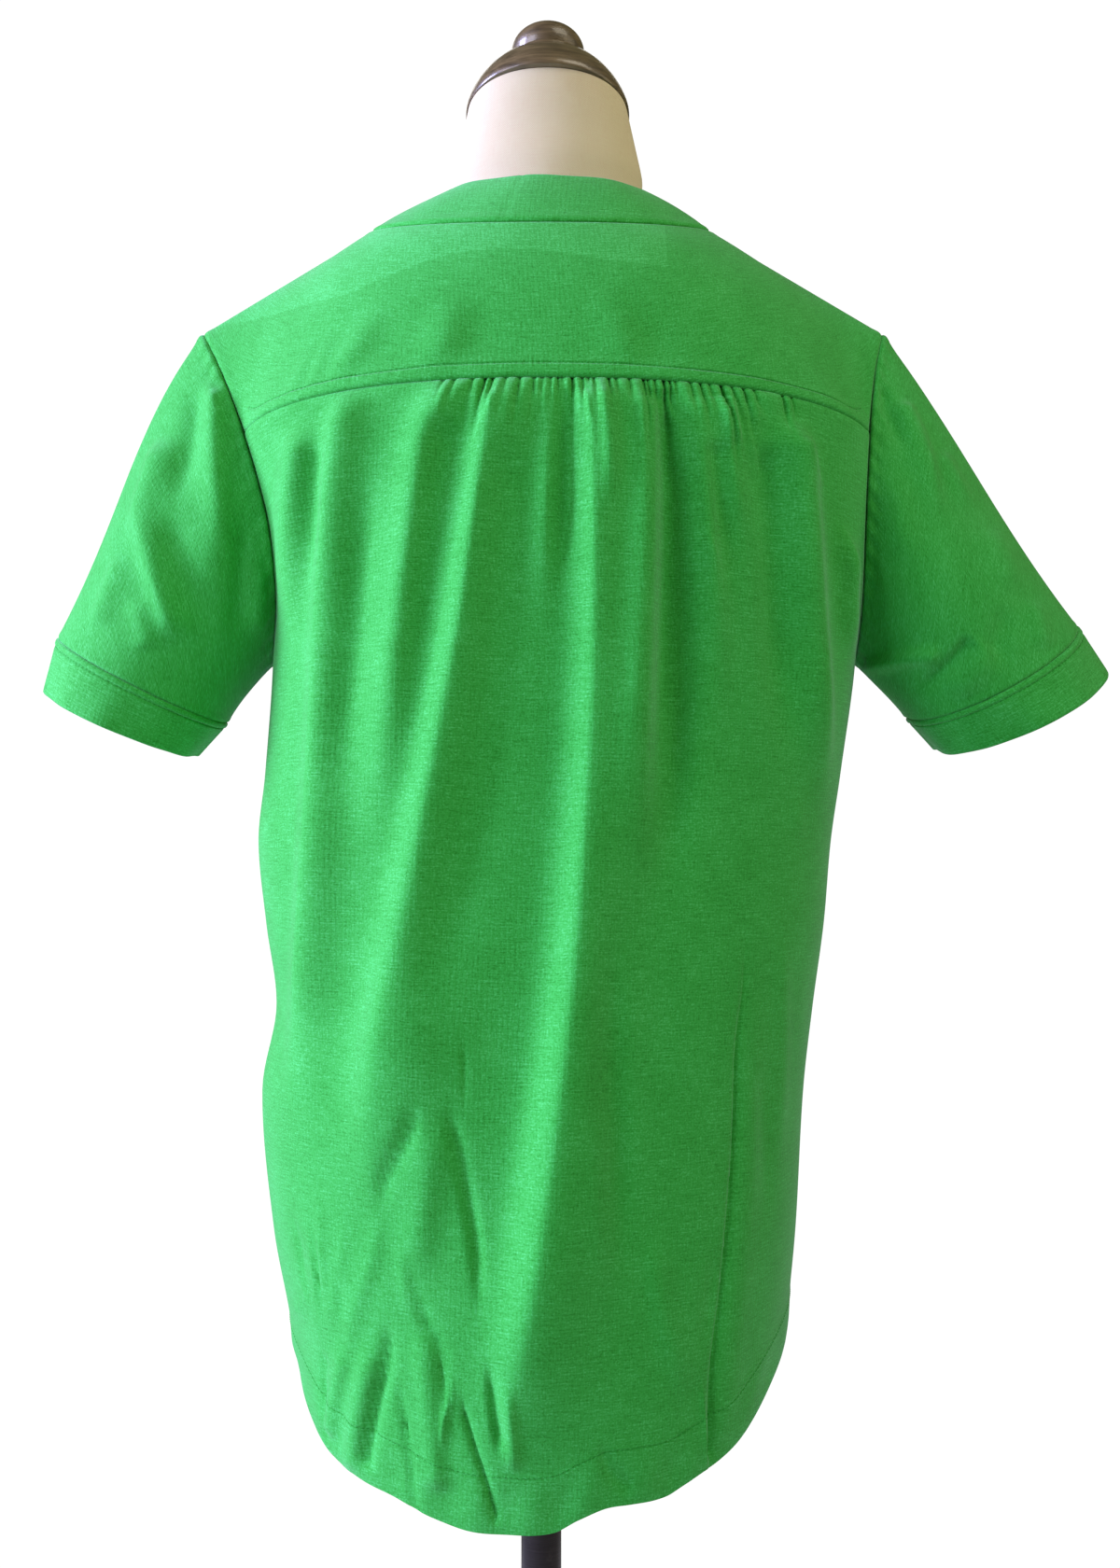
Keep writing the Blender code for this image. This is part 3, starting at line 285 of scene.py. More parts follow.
BODY = (
    BodyRow(0.660, 0.1470, 0.1430, 0.1640, -0.1500),
    BodyRow(0.710, 0.1500, 0.1475, 0.1610, -0.1480),
    BodyRow(0.744, 0.1535, 0.1510, 0.1580, -0.1460),
    BodyRow(0.797, 0.1640, 0.1565, 0.1510, -0.1420),
    BodyRow(0.879, 0.1715, 0.1615, 0.1400, -0.1370),
    BodyRow(0.930, 0.1630, 0.1675, 0.1335, -0.1330),
    BodyRow(0.980, 0.1695, 0.1745, 0.1280, -0.1330),
    BodyRow(1.030, 0.1745, 0.1790, 0.1230, -0.1340),
    BodyRow(1.071, 0.1705, 0.1850, 0.1200, -0.1370),
    BodyRow(1.143, 0.1655, 0.1945, 0.1185, -0.1400),
    BodyRow(1.200, 0.1655, 0.1945, 0.1175, -0.1400),
    BodyRow(1.250, 0.1655, 0.1945, 0.1150, -0.1280),
    BodyRow(1.293, 0.1655, 0.1945, 0.1110, -0.1080),
    BodyRow(1.340, 0.1655, 0.1945, 0.1000, -0.0860),
)

BACK_HEM = ((-0.147, HEM_RIGHT), (-0.140, 0.7265), (-0.130, 0.7160), (-0.120, 0.7070), (-0.110, 0.6990),
            (-0.100, 0.6938), (-0.090, 0.6910), (-0.080, 0.6870), (-0.070, 0.6832), (-0.050, 0.6820),
            (-0.036, 0.6810), (-0.022, 0.6760), (-0.008, 0.6695), (0.020, 0.6682), (0.040, 0.6692),
            (0.060, 0.6740), (0.080, 0.6802), (0.100, 0.6842), (0.110, 0.6872), (0.120, 0.6912),
            (0.130, 0.6998), (0.140, 0.7105), (0.1495, HEM_LEFT))


@dataclass(frozen=True)
class NeckLoop:
    """A line round the neck; 0 degrees is the wearer's left shoulder, 90 the back and -90 the front."""

    half_width: float
    side: tuple[float, float, float]
    back: tuple[float, float, float]
    front: tuple[float, float, float]

    def at(self, degrees: Array) -> Array:
        """Points of the loop."""
        angle = np.radians(degrees)
        across, along = np.cos(angle), np.sin(angle)
        x = self.side[0] + self.half_width * across
        level = 1 - np.abs(across)
        reach = 0.5 * -along + 0.5 * level
        behind = along >= 0
        y = np.where(behind, self.side[1] + (self.back[1] - self.side[1]) * along,
                     self.side[1] + (self.front[1] - self.side[1]) * reach)
        z = np.where(behind, self.side[2] + (self.back[2] - self.side[2]) * along,
                     self.side[2] + (self.front[2] - self.side[2]) * level)
        return stack(x, y, z)


NECK_SEAM = NeckLoop(0.1045, (0.0, 0.012, 1.4055), (0.0, 0.078, 1.3910), (0.0, -0.100, 1.3120))
NECK_STOP = math.degrees(math.acos(PLACKET_HALF / NECK_SEAM.half_width))   # where the placket cuts the seam
BAND_EDGE = NeckLoop(0.0640, (-0.0034, 0.012, 1.4255), (-0.0034, 0.054, 1.4265), (0.0, -0.079, 1.3490))


def armhole(side: int, part: Array, back: bool) -> Array:
    """Points of an armhole seam: part runs from 0 at the underarm to 1 at the shoulder tip."""
    part = np.asarray(part, float)
    x = side * through([r.part for r in ARMHOLE], [r.left if side > 0 else r.right for r in ARMHOLE], part)
    swell = np.maximum(np.sin(np.pi * np.clip(part, 0, 1) ** 0.8), 0.0) ** 0.7
    return stack(x, (0.045 if back else -0.048) * swell, UNDERARM + (SHOULDER_TIP - UNDERARM) * part)


def quarter(side: int, height: Array, back: bool, share: Array, stop_x: float | None = None) -> Array:
    """Points of the body's level quarter sections.

    Args:
        side: 1 for the wearer's left, -1 for the right.
        height: Height of each point.
        back: Whether the quarter is of the back.
        share: 0 at the quarter's outer edge, 1 at its middle line.
        stop_x: Ends the quarter short of the middle line, at that distance from it.

    Returns:
        The points, in the shape of height and share together.
    """
    height, share = np.broadcast_arrays(np.asarray(height, float), np.asarray(share, float))
    rows = [r.height for r in BODY]
    middle = through(rows, [r.back if back else r.front for r in BODY], height)
    low_x = side * through(rows, [r.left if side > 0 else r.right for r in BODY], height)
    seam = armhole(side, np.clip((height - UNDERARM) / (SHOULDER_TIP - UNDERARM), 0, 1), back)
    high = height > UNDERARM
    edge_x, edge_y = np.where(high, seam[..., 0], low_x), np.where(high, seam[..., 1], 0.0)
    power, shift = BODY_ROUNDNESS, CENTRE_SHIFT * back
    start = np.arcsin(np.minimum(np.abs(edge_y / middle), 0.95) ** (power / 2))
    half = np.abs(edge_x - shift) / np.cos(start) ** (2 / power)
    stop = np.pi / 2 if stop_x is None else np.arccos((stop_x / half) ** (power / 2))
    angle = start + (stop - start) * share
    return stack(shift + side * half * np.maximum(np.cos(angle), 0.0) ** (2 / power),
                 middle * np.sin(angle) ** (2 / power), height)


def back_at(share: Array, height: Array) -> Array:
    """Points of the back's smooth surface: share 0 is its left edge and 1 its right edge."""
    left = quarter(1, height, True, np.minimum(share * 2, 1.0))
    right = quarter(-1, height, True, np.minimum((1 - share) * 2, 1.0))
    return np.where((np.broadcast_to(share, left.shape[:-1]) <= 0.5)[..., None], left, right)


def seam_height(share: Array) -> Array:
    """The yoke's back seam rises from its two corners to the middle."""
    corner = UNDERARM + (SHOULDER_TIP - UNDERARM) * BACK_CORNER
    return corner + (YOKE_DROP - corner) * np.sin(np.pi * share)


# ---------- shells


def add_object(name: str, data: bpy.types.ID) -> bpy.types.Object:
    """A new object in the scene."""
    made = bpy.data.objects.new(name, data)
    bpy.context.scene.collection.objects.link(made)
    return made


def smooth(mesh: bpy.types.Mesh, degrees: float) -> None:
    """Shade a mesh smooth, but for edges that turn by more than an angle."""
    mesh.shade_smooth()
    mesh.set_sharp_from_angle(angle=math.radians(degrees))


def evaluated_mesh(piece: bpy.types.Object) -> bpy.types.Mesh:
    """The plain mesh that an object's modifiers make."""
    bpy.context.view_layer.update()
    return bpy.data.meshes.new_from_object(piece.evaluated_get(bpy.context.evaluated_depsgraph_get()))


def ring_faces(places: Array) -> list[list[int]]:
    """The four-sided faces between rings of point numbers."""
    far = np.roll(places, -1, axis=1)
    return np.stack([places[:-1], places[1:], far[1:], far[:-1]], axis=-1).reshape(-1, 4).tolist()


@dataclass
class ClothShell:
    """One piece of cloth as a closed thin shell between an outer grid of points and an inner one."""

    name: str
    points: Array                         # rows, columns, xyz: the smooth outer face
    wrap: bool = False                    # the columns close on themselves
    middle: tuple[float, float] = (0.0, 1.25)   # y, and highest z, of the axis it faces away from
    thickness: float = CLOTH
    normals: Array = field(init=False)
    flip: bool = field(init=False)
    shown: Array = field(init=False)      # the outer face with its folds, once built

    def __post_init__(self) -> None:
        """Find the outward directions of the smooth face."""
        self.normals = self.facing(self.points)
        away = self.points - self.axis()
        self.flip = float(np.sum(self.normals * away)) < 0
        if self.flip:
            self.normals = -self.normals

    def axis(self) -> Array:
        """The line or ring middles that the cloth faces away from."""
        if self.wrap:
            return self.points.mean(axis=1, keepdims=True)
        z = np.minimum(self.points[..., 2], self.middle[1])
        return stack(np.zeros_like(z), np.full_like(z, self.middle[0]), z)

    def facing(self, points: Array) -> Array:
        """Unit normals of a grid of points."""
        down = np.gradient(points, axis=0)
        if self.wrap:
            across = np.roll(points, -1, axis=1) - np.roll(points, 1, axis=1)
        else:
            across = np.gradient(points, axis=1)
        return unit(np.cross(down, across))

    def closed(self) -> Array:
        """The smooth face's points, with the first column again at the end of a ring."""
        return np.concatenate([self.points, self.points[:, :1]], axis=1) if self.wrap else self.points

    def cut(self) -> tuple[Array, Array]:
        """Distances across and down the cloth, in metres, for its pattern."""
        across = runs(self.closed(), 1)
        return across - across[:, across.shape[1] // 2][:, None], runs(self.closed())

    def build(self, lift: Array, marks: dict[str, Array] | None = None) -> bpy.types.Object:
        """Make the shell.

        Args:
            lift: How far each point of the outer face stands off the smooth surface.
            marks: Named numbers on the points, which the finish reads.

        Returns:
            The shell's object, at the origin.
        """
        outer = self.points + self.normals * lift[..., None]
        inner = outer - self.normals * self.thickness
        rows, columns = outer.shape[:2]
        count = rows * columns
        places = np.arange(count).reshape(rows, columns)
        near = places if self.wrap else places[:, :-1]
        far = np.roll(places, -1, axis=1) if self.wrap else places[:, 1:]
        u, v = self.cut()
        spots = np.arange(u.size).reshape(u.shape)
        near_uv, far_uv = spots[:, :-1], spots[:, 1:]

        def quads(a: Array, b: Array, c: Array, d: Array) -> Array:
            return np.stack([a, b, c, d], axis=-1).reshape(-1, 4)

        def both(pick: Callable[[Array, Array, int], Array]) -> tuple[Array, Array]:
            return pick(near, far, count), pick(near_uv, far_uv, 0)

        faces = [
            both(lambda n, f, k: quads(n[:-1], n[1:], f[1:], f[:-1])),
            both(lambda n, f, k: quads(n[:-1], f[:-1], f[1:], n[1:]) + k),
            both(lambda n, f, k: quads(n[0], f[0], f[0] + k, n[0] + k)),
            both(lambda n, f, k: quads(n[-1], n[-1] + k, f[-1] + k, f[-1])),
        ]
        if not self.wrap:
            faces.append(both(lambda n, f, k: quads(n[:-1, 0], n[:-1, 0] + k, n[1:, 0] + k, n[1:, 0])))
            faces.append(both(lambda n, f, k: quads(f[:-1, -1], f[1:, -1], f[1:, -1] + k, f[:-1, -1] + k)))
        corners, corner_uv = (np.concatenate([pair[i] for pair in faces]) for i in (0, 1))
        if self.flip:
            corners, corner_uv = corners[:, ::-1], corner_uv[:, ::-1]
        mesh = bpy.data.meshes.new(self.name)
        verts = np.concatenate([outer.reshape(-1, 3), inner.reshape(-1, 3)])
        mesh.from_pydata(verts.tolist(), [], corners.tolist())
        layer = mesh.uv_layers.new(name="cut")
        flat = np.stack([u.ravel()[corner_uv.ravel()], v.ravel()[corner_uv.ravel()]], axis=1)
        layer.data.foreach_set("uv", flat.astype(np.float32).ravel())
        for label, values in (marks or {}).items():
            held = mesh.attributes.new(label, "FLOAT", "POINT")
            held.data.foreach_set("value", np.tile(values.ravel(), 2).astype(np.float32))
        smooth(mesh, 60)
        self.shown = outer
        LOG.info("%s: %.4f square metres", self.name, self.area())
        return add_object(self.name, mesh)

    def area(self) -> float:
        """The smooth face's area in square metres."""
        p = self.closed()
        one, two = p[1:, 1:] - p[:-1, :-1], p[1:, :-1] - p[:-1, 1:]
        return float(np.sum(np.linalg.norm(np.cross(one, two), axis=2)) / 2)


class PieceKind(Enum):
    """What a finished piece is."""

    JERSEY = "jersey"
    BUTTON = "button"
    LINEN = "linen"
    WOOD = "varnished_wood"
    METAL = "dark_metal"


def settle(piece: bpy.types.Object, material: bpy.types.Material,
           nodes: Sequence[str] = ()) -> bpy.types.Object:
    """Give a piece its material and its body, hide the nodes it stands for, and log its faces."""
    piece.data.materials.clear()
    piece.data.materials.append(material)
    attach(piece, "root")
    if nodes:
        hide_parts(*nodes)
    LOG.info("%s: %d faces", piece.name, len(piece.data.polygons))
    return piece


# ---------- finishes


class Signal:
    """A shader socket that Python's own operators work on."""

    def __init__(self, graph: "Graph", socket: bpy.types.NodeSocket) -> None:
        """Keep the socket and the graph it is in."""
        self.graph, self.socket = graph, socket

    def maths(self, operation: str, *values: "float | Signal") -> "Signal":
        """A Math node on the given values."""
        return self.graph.node("ShaderNodeMath", {"operation": operation}, values)

    def __add__(self, other: "float | Signal") -> "Signal":
        """Self plus other."""
        return self.maths("ADD", self, other)

    def __sub__(self, other: "float | Signal") -> "Signal":
        """Self minus other."""
        return self.maths("SUBTRACT", self, other)

    def __rsub__(self, other: "float | Signal") -> "Signal":
        """Other minus self."""
        return self.maths("SUBTRACT", other, self)

    def __mul__(self, other: "float | Signal") -> "Signal":
        """Self times other."""
        return self.maths("MULTIPLY", self, other)

    def __truediv__(self, other: "float | Signal") -> "Signal":
        """Self divided by other."""
        return self.maths("DIVIDE", self, other)

    def size(self) -> "Signal":
        """Self without its sign."""
        return self.maths("ABSOLUTE", self)

    def part(self) -> "Signal":
        """Self less its whole part."""
        return self.maths("FRACT", self)

    def wave(self) -> "Signal":
        """The sine of self."""
        return self.maths("SINE", self)

    def rise(self, start: float, end: float) -> "Signal":
        """0 where self is at start and 1 where it is at end, smooth between."""
        return self.graph.node("ShaderNodeMapRange", {"interpolation_type": "SMOOTHSTEP"},
                               (self, start, end, 0.0, 1.0))

    def span(self, low: float, high: float) -> "Signal":
        """Self from 0 to 1 drawn out from low to high."""
        return self.graph.node("ShaderNodeMapRange", {}, (self, 0.0, 1.0, low, high))


class Graph:
    """A material's nodes, with one method that makes any of them."""

    def __init__(self, name: str) -> None:
        """Start a material that has only its Principled shader."""
        self.material = bpy.data.materials.new(name)
        self.material.use_nodes = True
        self.tree = self.material.node_tree
        self.shader = self.tree.nodes["Principled BSDF"]

    def node(self, kind: str, settings: dict | None = None,
             values: Sequence | dict = (), out: int | str = 0) -> Signal:
        """Add a node.

        Args:
            kind: The node's type.
            settings: Its properties, set before its sockets.
            values: Numbers, colours or signals for its inputs, in order or by name.
            out: The output that is used.

        Returns:
            The output as a signal.
        """
        made = self.tree.nodes.new(kind)
        for key, value in (settings or {}).items():
            setattr(made, key, value)
        for key, value in values.items() if isinstance(values, dict) else enumerate(values):
            if isinstance(value, Signal):
                self.tree.links.new(value.socket, made.inputs[key])
            else:
                made.inputs[key].default_value = value
        return Signal(self, made.outputs[out])

    def spot(self) -> Signal:
        """The place on the object."""
        return self.node("ShaderNodeTexCoord", {}, (), "Object")

    def cut(self) -> Signal:
        """The place on the cloth's pattern."""
        return self.node("ShaderNodeUVMap", {"uv_map": "cut"})

    def mark(self, name: str) -> Signal:
        """A number that the mesh carries on its points."""
        return self.node("ShaderNodeAttribute", {"attribute_name": name}, (), "Fac")

    def noise(self, place: Signal, scale: float, detail: float = 2.0, rough: float = 0.5) -> Signal:
        """Noise from 0 to 1 at a place."""
        return self.node("ShaderNodeTexNoise", {}, {"Vector": place, "Scale": scale, "Detail": detail,
                                                    "Roughness": rough})

    def grain(self, place: Signal, sizes: Colour, detail: float, rough: float = 0.5) -> Signal:
        """Noise with its own scale on each axis."""
        drawn = self.node("ShaderNodeVectorMath", {"operation": "MULTIPLY"}, (place, sizes))
        return self.noise(drawn, 1.0, detail, rough)

    def axes(self, place: Signal) -> tuple[Signal, Signal, Signal]:
        """The three numbers of a place."""
        split = self.node("ShaderNodeSeparateXYZ", {}, (place,))
        return tuple(Signal(self, split.socket.node.outputs[i]) for i in range(3))

    def mix(self, factor: float | Signal, one: "Colour | Signal", two: "Colour | Signal") -> Signal:
        """A colour between two."""
        def colour(value: "Colour | Signal") -> "tuple | Signal":
            return value if isinstance(value, Signal) else (*value, 1.0)
        values = {0: factor, 6: colour(one), 7: colour(two)}
        return self.node("ShaderNodeMix", {"data_type": "RGBA"}, values, 2)

    def bump(self, height: Signal, depth: float, below: Signal | None = None) -> Signal:
        """A bump of a height from 0 to 1, depth metres deep."""
        values = {"Strength": 1.0, "Distance": depth, "Height": height}
        if below is not None:
            values["Normal"] = below
        return self.node("ShaderNodeBump", {}, values)

    def finish(self, constants: dict[str, object], linked: dict[str, Signal]) -> bpy.types.Material:
        """Set the shader's constant sockets and link the others."""
        for name, value in constants.items():
            self.shader.inputs[name].default_value = value
        for name, signal in linked.items():
            self.tree.links.new(signal.socket, self.shader.inputs[name])
        return self.material


@dataclass(frozen=True)
class JerseyFinish:
    """Slubby green cotton jersey: flecks and fine cross-wise streaks on a soft, matt knit, with painted shade
    along its stitch rows and seams.
    """

    name: str
    deep: Colour = (0.010, 0.270, 0.018)
    plain: Colour = (0.024, 0.390, 0.046)
    pale: Colour = (0.062, 0.560, 0.130)
    faced: bool = False           # an inner layer shows through, inside the mark "facing"
    stitched: tuple[float, ...] = ()   # the stitch rows' distances from the edge, in the mark "edge"
    stitch_sink_and_shade: float = 1.0             # how deep the stitch rows sink, and how dark their painted shade is
    turned: float = 0.0           # width of a turned-up hem, whose second layer shows a little
    seam_shade: bool = False          # painted shade: a dark line along the seam, where the mark "seam" is 0

    def make(self) -> bpy.types.Material:
        """Build the material."""
        g = Graph(self.name)
        cut = g.cut()
        fleck = g.noise(cut, 900.0, 2.0, 0.6)
        streak = g.grain(cut, (60.0, 1000.0, 1.0), 2.0, 0.6)
        short = g.grain(cut, (260.0, 1500.0, 1.0), 1.0, 0.5)
        cloud = g.noise(cut, 22.0, 3.0, 0.55)
        wale = g.grain(cut, (1500.0, 130.0, 1.0), 1.0, 0.5)
        tone = (fleck - 0.5) * 1.2 + (streak - 0.5) * 0.75 + (short - 0.5) * 0.6
        tone = (tone + (wale - 0.5) * 0.5 + (cloud - 0.5) * 0.4 + 0.5).rise(0.0, 1.0)
        if self.faced:
            inner = g.mark("facing")
            ripple = (g.noise(cut, 260.0, 1.0) - 0.5) * 0.0012
            tone = tone + (inner + ripple).rise(-0.0006, 0.0006) * 0.22 - 0.02
        height = fleck * 0.5 + short * 0.3 + wale * 0.3 + streak * 0.1
        wales = g.node("ShaderNodeTexWave", {"wave_type": "BANDS", "bands_direction": "X"},
                       {"Vector": cut, "Scale": 110.0, "Distortion": 1.2, "Detail": 1.0, "Detail Scale": 3.0})
        knit = g.bump(height + wales * 0.2, 0.0002)
        if self.stitched or self.turned:
            edge = g.mark("edge")
            for row in self.stitched:
                line = 1.0 - (edge - row).size().rise(0.0002, 0.0009)
                holes = (g.axes(cut)[0] / 0.0031).part()
                # painted shade: the cloth along each stitch row is darkened, most at its needle holes, as the
                # shadow of the sunken row
                tone = tone - line * ((holes - 0.5).size().rise(0.30, 0.5) * 0.45 + 0.15) * self.stitch_sink_and_shade
                pucker = g.grain(cut, (420.0, 90.0, 1.0), 1.0)
                near = 1.0 - (edge - row).size().rise(0.0005, 0.0045)
                knit = g.bump(pucker * near - line * 0.6, 0.0007 * self.stitch_sink_and_shade, knit)
            if self.turned:
                tone = tone + (1.0 - edge.rise(self.turned - 0.0006, self.turned + 0.0006)) * 0.03
        if self.seam_shade:
            seam = g.mark("seam")
            # painted shade: the cloth is darkened along the seam, as the shadow in its groove
            tone = tone - (1.0 - seam.rise(0.0003, 0.0011)) * 0.6
        low = g.mix(tone.rise(0.0, 0.5), self.deep, self.plain)
        colour = g.mix(tone.rise(0.5, 1.1), low, self.pale)
        return g.finish(
            {"Sheen Weight": 0.3, "Sheen Roughness": 0.5, "Sheen Tint": (0.65, 1.0, 0.90, 1.0),
             "Specular IOR Level": 0.3},
            {"Base Color": colour, "Roughness": (1.0 - tone).span(0.74, 0.92), "Normal": knit})


def hemmed(name: str) -> bpy.types.Material:
    """Jersey with a turned and stitched hem."""
    return JerseyFinish(name, stitched=(HEM_STITCH,), stitch_sink_and_shade=0.3, turned=HEM_STITCH).make()


@dataclass(frozen=True)
class ThreadFinish:
    """Sewing thread: twisted, slightly glossier than the cloth."""

    name: str
    dark: Colour = (0.010, 0.220, 0.018)
    light: Colour = (0.024, 0.370, 0.045)

    def make(self) -> bpy.types.Material:
        """Build the material."""
        g = Graph(self.name)
        spot = g.spot()
        twist = g.node("ShaderNodeTexWave", {"bands_direction": "DIAGONAL"},
                       {"Vector": spot, "Scale": 900.0, "Distortion": 2.0})
        return g.finish({"Specular IOR Level": 0.15},
                        {"Base Color": g.mix(twist, self.dark, self.light),
                         "Roughness": twist.span(0.85, 0.7), "Normal": g.bump(twist, 0.0001)})


@dataclass(frozen=True)
class ButtonFinish:
    """Moulded button: a dyed, slightly clouded face with a soft gloss."""

    name: str
    deep: Colour = (0.012, 0.230, 0.040)
    pale: Colour = (0.045, 0.400, 0.100)

    def make(self) -> bpy.types.Material:
        """Build the material."""
        g = Graph(self.name)
        spot = g.spot()
        cloud = g.noise(spot, 260.0, 3.0, 0.6)
        fine = g.noise(spot, 2400.0, 1.0)
        return g.finish({"Coat Roughness": 0.2, "IOR": 1.53},
                        {"Base Color": g.mix(cloud.rise(0.3, 0.75), self.deep, self.pale),
                         "Roughness": fine.span(0.28, 0.42), "Coat Weight": cloud.span(0.15, 0.35),
                         "Normal": g.bump(fine, 0.00006)})


@dataclass(frozen=True)
class LinenFinish:
    """Ecru linen stretched on the form: a plain weave with slubs, and its sewn panel lines."""

    name: str
    warm: Colour = (0.600, 0.465, 0.320)
    light: Colour = (0.635, 0.590, 0.420)
    seam_z: float = 1.4290

    def make(self) -> bpy.types.Material:
        """Build the material."""
        g = Graph(self.name)
        spot = g.spot()
        cut = g.cut()
        u, v, _ = g.axes(cut)
        x, _, z = g.axes(spot)
        warp = (u * (2 * math.pi / 0.0011)).wave()
        weft = (v * (2 * math.pi / 0.0012)).wave()
        slub = g.grain(cut, (90.0, 1300.0, 1.0), 2.0, 0.6)
        thick = g.grain(cut, (1300.0, 80.0, 1.0), 2.0, 0.6)
        cloud = g.noise(spot, 16.0, 3.0)
        level = 1.0 - (z - self.seam_z + x * x * 1.6).size().rise(0.0002, 0.0009)
        seams = level * (u / 0.0026).part().rise(0.2, 0.6) * 0.4
        tone = (slub - 0.5) * 0.5 + (thick - 0.5) * 0.5 + (cloud - 0.5) * 0.5 + 0.75 - seams * 0.55
        weave = g.bump(warp * weft * 0.25 + slub * 0.4 + thick * 0.4, 0.00022)
        return g.finish({"Sheen Weight": 0.15, "Sheen Roughness": 0.5, "Specular IOR Level": 0.3},
                        {"Base Color": g.mix(tone.rise(0.0, 1.0), self.warm, self.light),
                         "Roughness": (1.0 - tone * 0.1).span(0.8, 0.95),
                         "Normal": g.bump(1.0 - seams, 0.0002, weave)})


@dataclass(frozen=True)
class WoodFinish:
    """Dark turned wood under varnish, with its grain drawn out and paler rubbed patches."""

    name: str
    dark: Colour = (0.040, 0.027, 0.012)
    light: Colour = (0.175, 0.130, 0.068)

    def make(self) -> bpy.types.Material:
        """Build the material."""
        g = Graph(self.name)
        spot = g.spot()
        grain = g.grain(spot, (30.0, 160.0, 420.0), 5.0, 0.62)
        pores = g.grain(spot, (90.0, 1500.0, 1900.0), 2.0, 0.6)
        rubbed = g.noise(spot, 45.0, 3.0)
        tone = (grain * 0.7 + rubbed * 0.3).rise(0.3, 0.72)
        height = grain * 0.5 + pores.rise(0.35, 0.6) * 0.5
        return g.finish({"Coat Roughness": 0.14, "IOR": 1.5, "Specular IOR Level": 0.6},
                        {"Base Color": g.mix(tone, self.dark, self.light),
                         "Roughness": (1.0 - tone).span(0.26, 0.42),
                         "Coat Weight": rubbed.span(0.4, 0.75), "Normal": g.bump(height, 0.00010)})


@dataclass(frozen=True)
class MetalFinish:
    """Dark painted steel, brushed round, with small scuffs."""

    name: str
    dark: Colour = (0.012, 0.010, 0.010)
    light: Colour = (0.052, 0.047, 0.045)

    def make(self) -> bpy.types.Material:
        """Build the material."""
        g = Graph(self.name)
        spot = g.spot()
        brushed = g.grain(spot, (55.0, 55.0, 1400.0), 3.0, 0.6)
        scuff = g.noise(spot, 70.0, 4.0, 0.65).rise(0.55, 0.75)
        return g.finish({"Specular IOR Level": 0.6},
                        {"Base Color": g.mix(brushed * 0.6 + scuff * 0.3, self.dark, self.light),
                         "Roughness": (brushed * 0.5 + scuff * 0.5).span(0.24, 0.5),
                         "Metallic": scuff.span(0.75, 0.35), "Normal": g.bump(brushed, 0.00008)})


# ---------- sewing


